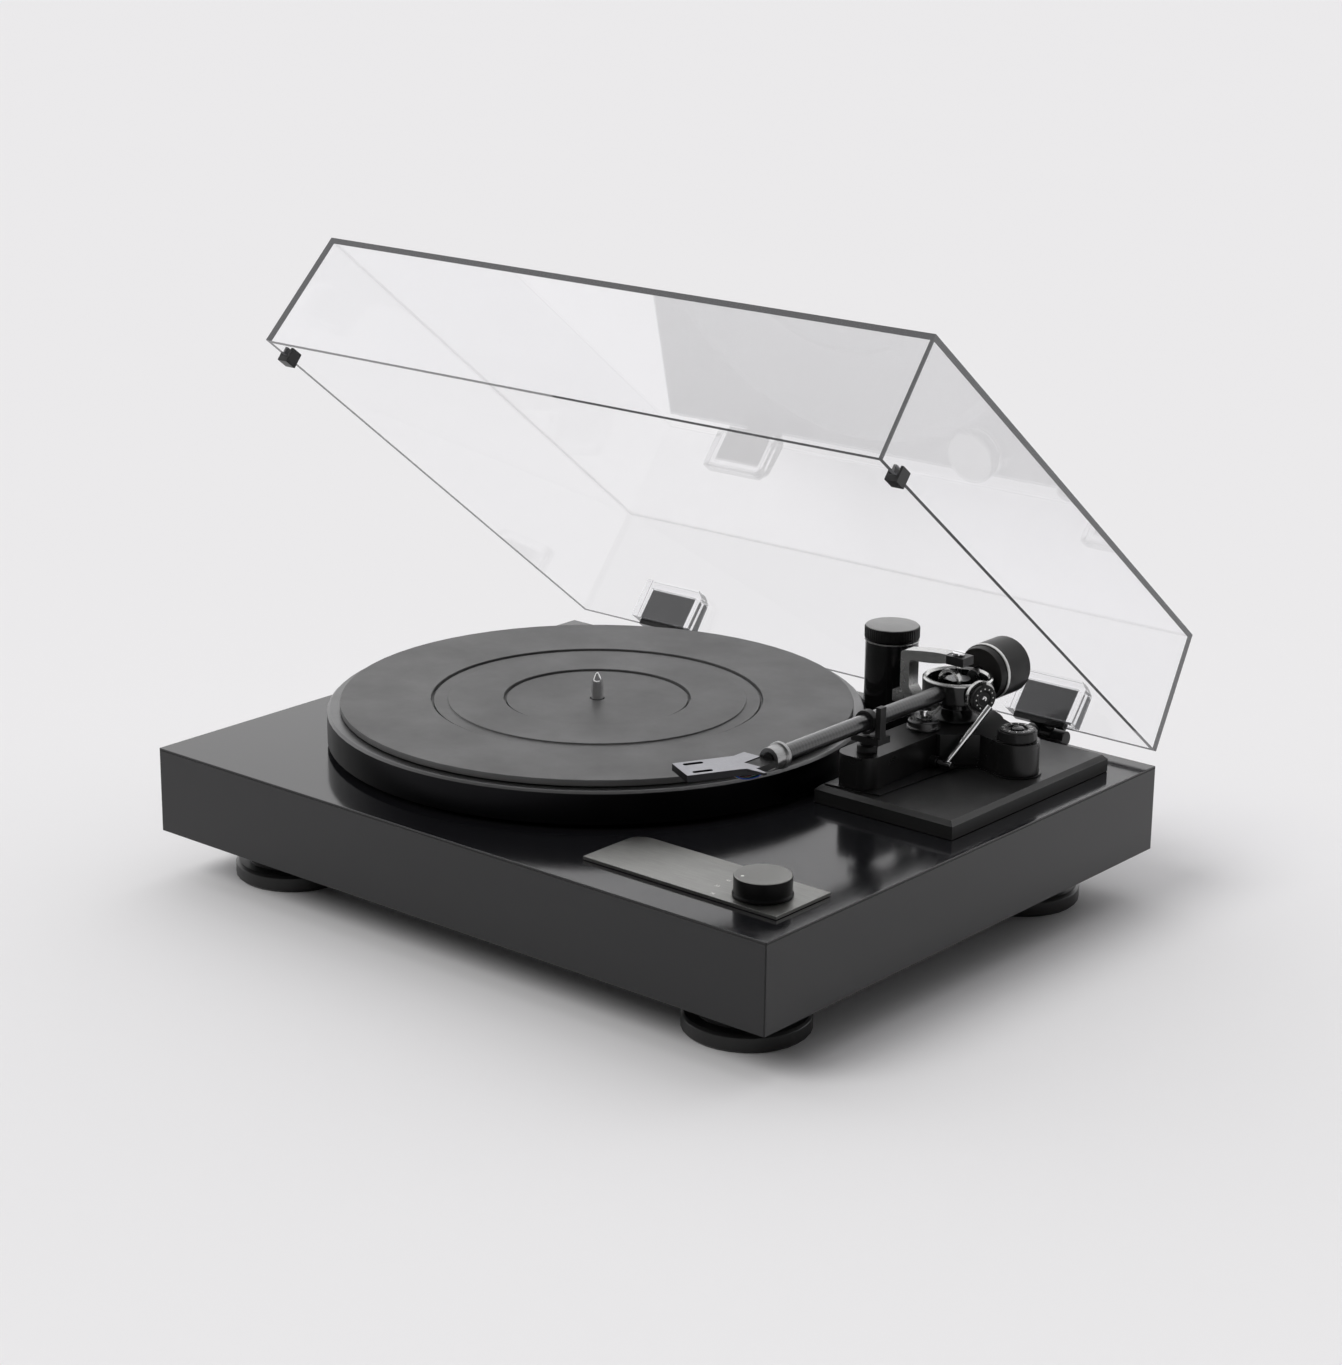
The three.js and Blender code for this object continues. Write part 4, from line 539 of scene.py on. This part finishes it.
def clear_material(finishes):
    """Acrylic sheet with a faint emission all over it: painted light, as if the sheet were lit."""
    # painted light: the whole sheet emits a faint light of its own though it is no lamp
    painted_glow = 0.014
    made, tree, shader = new_material(
        "clear_acrylic", finishes.acrylic, 0.0, 0.0, Transmission_Weight=1.0, IOR=1.49
    )
    place = object_place(tree)
    cloud = mixed_colour(tree, noise(tree, place, 6.0, 2), tuple(finishes.acrylic), (0.98, 0.98, 0.985))
    link(tree, cloud, shader.inputs["Base Color"])
    shader.inputs["Emission Color"].default_value = (0.96, 0.96, 1, 1)
    shader.inputs["Emission Strength"].default_value = painted_glow
    clear = add_node(tree, "ShaderNodeBsdfTransparent")
    clear.inputs["Color"].default_value = (0.97, 0.97, 0.975, 1)
    path = add_node(tree, "ShaderNodeLightPath")
    mix = add_node(tree, "ShaderNodeMixShader")
    link(tree, path.outputs["Is Shadow Ray"], mix.inputs[0])
    link(tree, shader.outputs[0], mix.inputs[1])
    link(tree, clear.outputs[0], mix.inputs[2])
    link(tree, mix.outputs[0], tree.nodes["Material Output"].inputs["Surface"])
    return made


def make_materials(finishes):
    """Every finish of the player by its short name."""
    bright = tuple(finishes.bright_metal)
    black = tuple(finishes.black_paint)
    grey = tuple(finishes.grey_metal)
    insulation = {"red": (0.4, 0.02, 0.015), "green": (0.02, 0.2, 0.06), "blue": (0.02, 0.06, 0.35)}
    insulation["white"] = (0.7, 0.7, 0.68)
    leads = {
        name: grained(f"{name}_insulation", colour, 0.35, 0.45, 2000.0, 0.1)[0]
        for name, colour in insulation.items()
    }
    return leads | {
        "lacquer": lacquer_material(finishes),
        "mat": mat_material(finishes),
        "platter": platter_material(),
        "foot": grained("foot_rubber", (0.009, 0.009, 0.009), 0.3, 0.42, 1800.0, 0.12)[0],
        "black_paint": grained(
            "satin_black_paint", black, 0.26, 0.34, 2400.0, 0.12, Specular_IOR_Level=0.35
        )[0],
        "board": brushed(
            "board_grain", (0.012, 0.012, 0.012), 0.34, 0.42, (45.0, 1600.0, 1600.0), 0.1, 0.0
        )[0],
        "black_plastic": grained(
            "black_plastic", (0.005, 0.005, 0.005), 0.3, 0.45, 3000.0, 0.15, Specular_IOR_Level=0.3
        )[0],
        "gloss_black": grained("gloss_black", (0.003, 0.003, 0.003), 0.1, 0.18, 900.0, 0.03)[0],
        "plate": brushed("brushed_plate", grey, 0.3, 0.42, (80.0, 5000.0, 5000.0), 0.2)[0],
        "knob": spun_top_material(
            "knob_spun", "speed_knob", joint_place("speed_select"), (0.002, 0.002, 0.002), grey
        ),
        "cap": spun_top_material(
            "cap_spun", "canister_cap", centre("canister_cap"), (0.003, 0.003, 0.003), (0.3, 0.3, 0.295)
        ),
        "bright": brushed("brushed_aluminium", bright, 0.2, 0.32, (120.0, 5000.0, 900.0), 0.15)[0],
        "chrome": grained("polished_chrome", (0.72, 0.72, 0.72), 0.05, 0.12, 400.0, 0.02, 1.0)[0],
        "steel": brushed("satin_steel", (0.4, 0.4, 0.4), 0.22, 0.34, (5000.0, 300.0, 5000.0), 0.12)[0],
        "dark_steel": brushed("dark_steel", (0.1, 0.1, 0.1), 0.22, 0.34, (5000.0, 300.0, 5000.0), 0.12)[0],
        "brass": grained("gilt_brass", (0.62, 0.45, 0.18), 0.16, 0.28, 800.0, 0.05, 1.0)[0],
        "copper": brushed("copper_wire", (0.5, 0.22, 0.09), 0.25, 0.4, (900.0, 900.0, 5000.0), 0.5)[0],
        "circuit": grained("circuit_laminate", (0.02, 0.09, 0.035), 0.35, 0.5, 1200.0, 0.2)[0],
        "ring": ring_material(finishes),
        "weight": weight_material(finishes),
        "shell": shell_material(finishes),
        "carbon": carbon_material(),
        "clear": clear_material(finishes),
        "ink": grained("pale_ink", (0.72, 0.72, 0.7), 0.4, 0.5, 2000.0, 0.05)[0],
    }


MATERIALS = {}


def finish_named(name):
    if not MATERIALS:
        MATERIALS.update(make_materials(bpy.context.scene.player_finishes))
    return MATERIALS[name]


# ------------------------------------------------------------------ pieces
def dress(name, finish, rounding=1.0, angle=35.0):
    """Gives a frame node its finish, joined corners, soft edges and smooth round faces."""
    piece = frame["nodes"][name]
    piece.data.materials.clear()
    piece.data.materials.append(finish_named(finish))
    piece.data.polygons.foreach_set("material_index", [0] * len(piece.data.polygons))
    piece.data.polygons.foreach_set("use_smooth", [True] * len(piece.data.polygons))
    weld = piece.modifiers.new("joined corners", "WELD")
    weld.merge_threshold = 0.005 * MM
    edges = piece.modifiers.new("soft edges", "BEVEL")
    edges.width = bpy.context.scene.player_finishes.edge_round * rounding
    edges.segments = 3
    edges.limit_method = "ANGLE"
    edges.angle_limit = math.radians(angle)
    creases = piece.modifiers.new("sharp creases", "EDGE_SPLIT")
    creases.split_angle = math.radians(angle)
    flats = piece.modifiers.new("flat faces stay flat", "WEIGHTED_NORMAL")
    flats.keep_sharp = True


def mesh_piece(name, points, faces, finish, body, smooth=True):
    mesh = bpy.data.meshes.new(name)
    mesh.from_pydata([tuple(point) for point in points], [], faces)
    mesh.update()
    piece = bpy.data.objects.new(name, mesh)
    bpy.context.scene.collection.objects.link(piece)
    mesh.materials.append(finish_named(finish))
    if smooth:
        mesh.polygons.foreach_set("use_smooth", [True] * len(mesh.polygons))
        mesh.set_sharp_from_angle(angle=math.radians(32))
    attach(piece, body)
    return piece


def axis_frame(axis):
    """Two directions across an axis."""
    across = Vector((1, 0, 0)) if abs(axis.x) < 0.9 else Vector((0, 1, 0))
    first = axis.cross(across).normalized()
    return first, axis.cross(first).normalized()


def turned_piece(name, profile, origin, axis, finish, body, steps=64, ribs=None):
    """Turns [radius, height] points, in metres, about an axis. ribs(radius, angle) may vary the radius."""
    axis = Vector(axis).normalized()
    first, second = axis_frame(axis)
    rings, points, faces = [], [], []
    for radius, height in profile:
        if radius < 1e-7:
            rings.append([len(points)])
            points.append(Vector(origin) + axis * height)
            continue
        ring = []
        for step in range(steps):
            angle = 2 * math.pi * step / steps
            reach = ribs(radius, angle) if ribs else radius
            ring.append(len(points))
            way = first * math.cos(angle) + second * math.sin(angle)
            points.append(Vector(origin) + axis * height + way * reach)
        rings.append(ring)
    for lower, upper in zip(rings, rings[1:]):
        for step in range(steps):
            following = (step + 1) % steps
            corners = [
                lower[step % len(lower)],
                lower[following % len(lower)],
                upper[following % len(upper)],
                upper[step % len(upper)],
            ]
            corners = list(dict.fromkeys(corners))
            if len(corners) > 2:
                faces.append(corners)
    return mesh_piece(name, points, faces, finish, body)


def tube_piece(name, route, radius, finish, body):
    """A round wire along a smooth route."""
    curve = bpy.data.curves.new(name, "CURVE")
    curve.dimensions = "3D"
    curve.bevel_depth = radius
    curve.bevel_resolution = 3
    curve.use_fill_caps = True
    line = curve.splines.new("BEZIER")
    line.bezier_points.add(len(route) - 1)
    for knot, place in zip(line.bezier_points, route):
        knot.co = place
        knot.handle_left_type = knot.handle_right_type = "AUTO"
    curve.materials.append(finish_named(finish))
    piece = bpy.data.objects.new(name, curve)
    bpy.context.scene.collection.objects.link(piece)
    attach(piece, body)
    return piece


def figure_piece(name, text, place, size, finish, body):
    """A number drawn flat on the plate."""
    curve = bpy.data.curves.new(name, "FONT")
    curve.body = text
    curve.size = size
    curve.extrude = 0.03 * MM
    curve.align_x = "CENTER"
    curve.align_y = "CENTER"
    curve.materials.append(finish_named(finish))
    piece = bpy.data.objects.new(name, curve)
    piece.location = place
    bpy.context.scene.collection.objects.link(piece)
    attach(piece, body)


def screw_piece(name, place, axis, radius, body):
    """A pan-head screw; its cross recess is two flat black strips laid on the crown, painted shade."""
    crown = radius * 0.42
    profile = [
        (radius, 0),
        (radius, crown * 0.4),
        (radius * 0.86, crown * 0.8),
        (radius * 0.5, crown),
        (0, crown),
    ]
    turned_piece(name, profile, place, axis, "chrome", body, 32)
    axis = Vector(axis).normalized()
    first, second = axis_frame(axis)
    # painted shade: flat black strips on the crown stand in for the dark inside of the cross recess
    for number, (along, across) in enumerate(((first, second), (second, first))):
        half, thin = along * radius * 0.62, across * radius * 0.13
        top = Vector(place) + axis * (crown + 0.015 * MM)
        corners = [top - half - thin, top + half - thin, top + half + thin, top - half + thin]
        mesh_piece(f"{name}_painted_shade_slot_{number + 1}", corners, [(0, 1, 2, 3)], "gloss_black", body, False)


def box_piece(name, middle, directions, halves, finish, body):
    """A small block given by its middle, three directions and half sizes."""
    corners = []
    for i in (-1, 1):
        for j in (-1, 1):
            for k in (-1, 1):
                corner = Vector(middle)
                for direction, half, side in zip(directions, halves, (i, j, k)):
                    corner += direction * half * side
                corners.append(corner)
    faces = [(0, 1, 3, 2), (4, 6, 7, 5), (0, 4, 5, 1), (2, 3, 7, 6), (0, 2, 6, 4), (1, 5, 7, 3)]
    mesh_piece(name, corners, faces, finish, body, False)


# ------------------------------------------------------------------ operators
class PLAYER_OT_plinth(bpy.types.Operator):
    """Finish the plinth, its feet, its base plate and the sockets on its back"""

    bl_idname = "player.plinth"
    bl_label = "Plinth and feet"

    def execute(self, context):
        dress("plinth", "lacquer", 1.2)
        dress("base_plate", "black_paint")
        for end in ("front", "back"):
            for side in ("left", "right"):
                dress(f"foot_{end}_{side}", "foot")
        dress("rear_panel", "black_paint", 0.5)
        dress("power_inlet", "black_plastic", 0.5)
        dress("ground_post", "brass", 0.5)
        for side, colour in (("left", "white"), ("right", "red")):
            node = f"phono_socket_{side}"
            dress(node, "brass", 0.5)
            middle = centre(node)
            radius = (high(node).x - low(node).x) / 2
            start = Vector((middle.x, high(node).y - 5.5 * MM, middle.z))
            rim = radius + 0.5 * MM
            profile = [(radius, 0), (rim, 0.2 * MM), (rim, 2 * MM), (radius, 2.2 * MM)]
            turned_piece(f"socket_band_{side}", profile, start, (0, 1, 0), colour, "player", 40)
        return {"FINISHED"}


class PLAYER_OT_drive(bpy.types.Operator):
    """Finish the motor, the bearing and the circuit board inside the plinth"""

    bl_idname = "player.drive"
    bl_label = "Motor and electronics"

    def execute(self, context):
        dress("motor_base", "steel", 0.5)
        dress("bearing_housing", "brass", 0.5)
        dress("motor_board", "circuit", 0.3)
        dress("stator_coils", "copper", 0.5)
        dress("rotor_magnet", "dark_steel", 0.5)
        dress("main_board", "circuit", 0.3)
        dress("speed_switch", "steel", 0.5)
        return {"FINISHED"}


class PLAYER_OT_platter(bpy.types.Operator):
    """Finish the platter, its rubber mat and the spindle"""

    bl_idname = "player.platter"
    bl_label = "Platter and mat"

    def execute(self, context):
        dress("platter", "platter", 0.6)
        dress("platter_mat", "mat", 0.8)
        dress("spindle", "chrome", 0.4)
        return {"FINISHED"}


class PLAYER_OT_controls(bpy.types.Operator):
    """Finish the control plate and the speed knob, with the speed numbers beside it"""

    bl_idname = "player.controls"
    bl_label = "Control plate and knob"

    def execute(self, context):
        details = context.scene.player_details
        dress("control_plate", "plate", 0.5)
        dress("speed_knob", "knob", 0.6)
        axis = joint_place("speed_select")
        top = high("control_plate").z + 0.03 * MM
        reach = (high("speed_knob").x - low("speed_knob").x) / 2
        for text, bearing in (("45", 172), ("33", 194), ("78", 219)):
            place = Vector((axis.x, axis.y, top)) + self.way(bearing) * (reach + 9.5 * MM)
            figure_piece(f"speed_{text}", text, place, details.figure_height, "ink", "player")
        dot = Vector((axis.x, axis.y, high("speed_knob").z - 0.45 * MM))
        dot += self.way(235) * (reach - 4.8 * MM)
        profile = [(0.9 * MM, 0), (0.9 * MM, 0.3 * MM), (0, 0.35 * MM)]
        turned_piece("knob_dot", profile, dot, UP, "ink", "knob", 24)
        return {"FINISHED"}

    def way(self, bearing):
        """The level direction at a bearing in degrees."""
        angle = math.radians(bearing)
        return Vector((math.cos(angle), math.sin(angle), 0))


class PLAYER_OT_arm_base(bpy.types.Operator):
    """Finish the arm board, the pod, the yoke, the rest, the cue lift and the anti-skate dial"""

    bl_idname = "player.arm_base"
    bl_label = "Arm board and pod"

    def execute(self, context):
        details = context.scene.player_details
        dress("arm_board", "board", 0.5)
        dress("pod_flange", "black_paint", 0.3)
        dress("pod_casting", "black_paint", 1.6)
        dress("arm_column", "gloss_black", 0.8)
        dress("yoke", "bright", 0.8)
        dress("yoke_block", "black_paint", 0.6)
        dress("pivot_screw", "chrome", 0.3)
        dress("arm_rest", "black_plastic", 0.8)
        dress("lift_guide", "dark_steel", 0.5)
        dress("lift_piston", "chrome", 0.3)
        dress("lift_bar", "foot", 0.5)
        dress("cue_lever", "chrome", 0.3)
        dress("antiskate_dial", "black_plastic", 0.4)
        self.dial_face(details)
        self.block_screws()
        self.rest_collar()
        return {"FINISHED"}

    def block_screws(self):
        """Two small screws in the top of the yoke's block."""
        lowest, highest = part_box("yoke_block")
        middle = centre("yoke_block")
        for number, side in enumerate((-1, 1)):
            place = Vector((lowest.x + 3 * MM, middle.y + side * 2.145 * MM, highest.z))
            screw_piece(f"block_screw_{number + 1}", place, UP, 1.0 * MM, "player")

    def rest_collar(self):
        """A collar round the foot of the arm rest's post."""
        bore, rim, neck = 4.0 * MM, 5.6 * MM, 5.0 * MM
        post = Vector((joint_place("arm_swing").x - 2 * MM, low("arm_rest").y + 7.5 * MM, 0))
        post.z = high("pod_casting").z + 3.3 * MM
        profile = [(bore, 0), (rim, 0), (rim, 0.5 * MM), (neck, 1.0 * MM), (bore, 1.0 * MM)]
        turned_piece("rest_collar_1", profile, post, UP, "black_plastic", "player", 40)

    def dial_face(self, details):
        """A bright scale ring with marks inside the anti-skate dial's rim."""
        axis = joint_place("antiskate_turn")
        top = high("antiskate_dial").z
        base = Vector((axis.x, axis.y, top))
        inner, outer = 6.2 * MM, 8.8 * MM
        foot, face = -0.1 * MM, 0.12 * MM
        ring = [(inner, foot), (inner, face), (outer, face), (outer, foot)]
        turned_piece("antiskate_scale", ring, base, UP, "dark_steel", "antiskate", 64)
        hub = [(3.6 * MM, -0.8 * MM), (3.6 * MM, 0.1 * MM), (3.0 * MM, 0.5 * MM), (0, 0.6 * MM)]
        turned_piece("antiskate_hub", hub, base, UP, "gloss_black", "antiskate", 40)
        for number in range(details.dial_marks):
            angle = 2 * math.pi * number / details.dial_marks
            out = Vector((math.cos(angle), math.sin(angle), 0))
            across = Vector((-out.y, out.x, 0))
            middle = base + out * 7.6 * MM + UP * 0.14 * MM
            halves = (0.8 * MM, 0.16 * MM, 0.02 * MM)
            box_piece(f"antiskate_mark_{number + 1}", middle, (out, across, UP), halves, "ink", "antiskate")


class PLAYER_OT_arm(bpy.types.Operator):
    """Finish the tone arm: hub, ring, tube, counterweight, force dial and headshell"""

    bl_idname = "player.arm"
    bl_label = "Tone arm"

    def execute(self, context):
        details = context.scene.player_details
        dress("swing_hub", "dark_steel", 0.4)
        dress("bearing_strap", "bright", 0.4)
        dress("gimbal_ring", "ring", 0.3)
        dress("arm_tube", "carbon", 0.3)
        dress("rest_sleeve", "black_plastic", 0.6)
        dress("rear_stub", "steel", 0.4)
        dress("counterweight", "weight", 0.8)
        dress("force_scale", "bright", 0.4)
        dress("tracking_force_dial", "black_plastic", 0.3)
        dress("headshell_collar", "steel", 0.5)
        dress("headshell", "shell", 0.5)
        dress("headshell_plug", "black_plastic", 0.5)
        self.force_marks(details)
        self.leads(details)
        return {"FINISHED"}

    def force_marks(self, details):
        """Pale dots on the force dial's face."""
        entry = joint("force_dial_turn")
        axis = Vector(entry["axis"]).normalized()
        pivot = joint_place("arm_pitch")
        corners = frame["nodes"]["tracking_force_dial"].data.vertices
        face = pivot + axis * max((corner.co - pivot).dot(axis) for corner in corners)
        first, second = axis_frame(axis)
        for number in range(details.dial_marks):
            angle = 2 * math.pi * number / details.dial_marks
            way = first * math.cos(angle) + second * math.sin(angle)
            profile = [(0.42 * MM, 0), (0.42 * MM, 0.08 * MM), (0, 0.1 * MM)]
            place = face + way * 5.6 * MM
            turned_piece(f"force_dot_{number + 1}", profile, place, axis, "ink", "force", 16)
        screw_piece("force_screw", face - axis * 0.5 * MM, axis, details.screw_radius, "force")

    def leads(self, details):
        """Four coloured leads from the plug to under the shell."""
        lowest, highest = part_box("cartridge_leads")
        span = highest - lowest
        for number, colour in enumerate(("red", "white", "green", "blue")):
            side = (number - 1.5) * 1.15 * MM
            route = [
                Vector((highest.x - 2.2 * MM + side, highest.y, highest.z - 0.4 * MM)),
                Vector((highest.x - 2.6 * MM + side, highest.y - span.y * 0.4, lowest.z + 0.9 * MM)),
                Vector((lowest.x + span.x * 0.45 + side, lowest.y + span.y * 0.25, lowest.z + 0.8 * MM)),
                Vector((lowest.x + 2.2 * MM + side, lowest.y + 0.6 * MM, highest.z - 0.6 * MM)),
            ]
            lead = tube_piece(f"lead_{colour}", route, details.lead_radius, colour, "arm")
            if number == 0:
                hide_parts("cartridge_leads")


class PLAYER_OT_canister(bpy.types.Operator):
    """Finish the canister and model its ribbed cap"""

    bl_idname = "player.canister"
    bl_label = "Canister"

    def execute(self, context):
        dress("canister", "gloss_black", 0.8)
        ribs = context.scene.player_details.cap_ribs
        lowest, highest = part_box("canister_cap")
        middle = (lowest + highest) / 2
        radius = (highest.x - lowest.x) / 2
        skirt = lowest.z + 4 * MM
        height = highest.z - skirt

        def ribbed(reach, angle):
            if reach < radius - 0.35 * MM:
                return reach
            return reach - 0.22 * MM * (1 - math.cos(ribs * angle)) / 2

        profile = [
            (0, 0),
            (radius - 0.5 * MM, 0),
            (radius, 0.3 * MM),
            (radius, height - 1.3 * MM),
            (radius - 0.3 * MM, height - 0.7 * MM),
            (radius - 0.9 * MM, height - 0.1 * MM),
            (radius - 1.3 * MM, height),
            (0, height),
        ]
        base = Vector((middle.x, middle.y, skirt))
        cap = turned_piece("cap_ribbed", profile, base, UP, "cap", "cap", ribs * 6, ribbed)
        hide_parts("canister_cap")
        ring = [(radius - 0.5 * MM, 0), (radius - 0.1 * MM, 0.1 * MM), (radius - 0.1 * MM, 0.7 * MM)]
        ring.append((radius - 0.5 * MM, 0.8 * MM))
        rim = Vector((middle.x, middle.y, high("canister").z - 1.2 * MM))
        turned_piece("canister_ring", ring, rim, UP, "bright", "player", 96)
        return {"FINISHED"}


class PLAYER_OT_lid(bpy.types.Operator):
    """Finish the clear lid, its hinges and its bumpers"""

    bl_idname = "player.lid"
    bl_label = "Lid and hinges"

    def execute(self, context):
        dress("lid", "clear", 1.0)
        for side in ("left", "right"):
            dress(f"hinge_base_{side}", "black_plastic", 0.6)
            dress(f"hinge_leaf_{side}", "gloss_black", 0.6)
            dress(f"hinge_pocket_{side}", "clear", 1.0)
            dress(f"lid_bumper_{side}", "foot", 1.0)
        return {"FINISHED"}


class PLAYER_OT_stage(bpy.types.Operator):
    """Lay the pale floor, set the soft light and place the camera"""

    bl_idname = "player.stage"
    bl_label = "Floor, light and camera"

    def execute(self, context):
        stage = context.scene.player_stage
        self.floor(stage)
        self.light(stage)
        self.camera(stage)
        context.scene.view_settings.view_transform = "Standard"
        return {"FINISHED"}

    def floor(self, stage):
        half = 40
        mesh = bpy.data.meshes.new("floor")
        corners = [(-half, -half, 0), (half, -half, 0), (half, half, 0), (-half, half, 0)]
        mesh.from_pydata(corners, [], [(0, 1, 2, 3)])
        floor = bpy.data.objects.new("floor", mesh)
        bpy.context.scene.collection.objects.link(floor)
        made, tree, shader = new_material("pale_floor", stage.floor, 0.0, 0.8)
        shader.inputs["Specular IOR Level"].default_value = 0.0
        tone = noise(tree, object_place(tree), 3.0, 3)
        pale = tuple(part * 1.006 for part in stage.floor)
        link(tree, mixed_colour(tree, tone, tuple(stage.floor), pale), shader.inputs["Base Color"])
        mesh.materials.append(made)

    def light(self, stage):
        world = bpy.data.worlds.new("studio")
        bpy.context.scene.world = world
        world.use_nodes = True
        tree = world.node_tree
        sky = tree.nodes["Background"]
        direction = add_node(tree, "ShaderNodeTexCoord").outputs["Generated"]
        behind = Vector((-math.sin(stage.azimuth), math.cos(stage.azimuth), 0))
        toward = add_node(tree, "ShaderNodeVectorMath", operation="DOT_PRODUCT")
        link(tree, direction, toward.inputs[0])
        toward.inputs[1].default_value = behind
        bright = mapped(tree, toward.outputs["Value"], -0.3, 0.5, stage.shade, stage.backdrop)
        height = add_node(tree, "ShaderNodeSeparateXYZ")
        link(tree, direction, height.inputs[0])
        overhead = mapped(tree, height.outputs["Z"], 0.8, 0.9, 0, stage.softbox)
        link(tree, math_node(tree, "ADD", bright, overhead), sky.inputs["Strength"])
        sky.inputs["Color"].default_value = (1, 0.995, 1, 1)
        sun = bpy.data.lights.new("sun", "SUN")
        sun.energy = stage.sun
        sun.angle = stage.sun_spread
        sun.color = (1, 0.995, 0.985)
        lamp = bpy.data.objects.new("sun", sun)
        lamp.rotation_euler = Vector(stage.sun_from).to_track_quat("Z", "Y").to_euler()
        lamp.visible_glossy = False
        lamp.visible_transmission = False
        bpy.context.scene.collection.objects.link(lamp)

    def camera(self, stage):
        data = bpy.data.cameras.new("camera")
        data.lens = stage.lens
        data.sensor_width = 36
        data.clip_end = 200
        camera = bpy.data.objects.new("camera", data)
        bpy.context.scene.collection.objects.link(camera)
        foot = centre("plinth")
        foot.z = low("plinth").z
        forward = Vector(
            (
                -math.sin(stage.azimuth) * math.cos(stage.pitch),
                math.cos(stage.azimuth) * math.cos(stage.pitch),
                -math.sin(stage.pitch),
            )
        )
        right = Vector((math.cos(stage.azimuth), math.sin(stage.azimuth), 0))
        up = right.cross(forward)
        turned_right = right * math.cos(stage.roll) + up * math.sin(stage.roll)
        turned_up = up * math.cos(stage.roll) - right * math.sin(stage.roll)
        axes = Matrix((turned_right, turned_up, -forward)).transposed()
        camera.matrix_world = Matrix.Translation(foot + Vector(stage.stand)) @ axes.to_4x4()
        bpy.context.scene.camera = camera


class PLAYER_PT_panel(bpy.types.Panel):
    """Lists the steps that dress and light the player"""

    bl_idname = "PLAYER_PT_panel"
    bl_label = "Record player"
    bl_space_type = "VIEW_3D"
    bl_region_type = "UI"
    bl_category = "Record player"

    def draw(self, context):
        scene = context.scene
        for group in (scene.player_finishes, scene.player_details, scene.player_stage):
            box = self.layout.box()
            for name in group.__annotations__:
                box.prop(group, name)
        for operator in OPERATORS:
            self.layout.operator(operator.bl_idname)


GROUPS = (PlayerFinishes, PlayerDetails, PlayerStage)
OPERATORS = (
    PLAYER_OT_plinth,
    PLAYER_OT_drive,
    PLAYER_OT_platter,
    PLAYER_OT_controls,
    PLAYER_OT_arm_base,
    PLAYER_OT_arm,
    PLAYER_OT_canister,
    PLAYER_OT_lid,
    PLAYER_OT_stage,
)
CLASSES = GROUPS + OPERATORS + (PLAYER_PT_panel,)


def register():
    for entry in CLASSES:
        bpy.utils.register_class(entry)
    bpy.types.Scene.player_finishes = PointerProperty(type=PlayerFinishes)
    bpy.types.Scene.player_details = PointerProperty(type=PlayerDetails)
    bpy.types.Scene.player_stage = PointerProperty(type=PlayerStage)


def unregister():
    del bpy.types.Scene.player_stage
    del bpy.types.Scene.player_details
    del bpy.types.Scene.player_finishes
    for entry in reversed(CLASSES):
        bpy.utils.unregister_class(entry)


def main():
    register()
    bpy.ops.player.plinth()
    bpy.ops.player.drive()
    bpy.ops.player.platter()
    bpy.ops.player.controls()
    bpy.ops.player.arm_base()
    bpy.ops.player.arm()
    bpy.ops.player.canister()
    bpy.ops.player.lid()
    bpy.ops.player.stage()


if __name__ == "__main__":
    main()
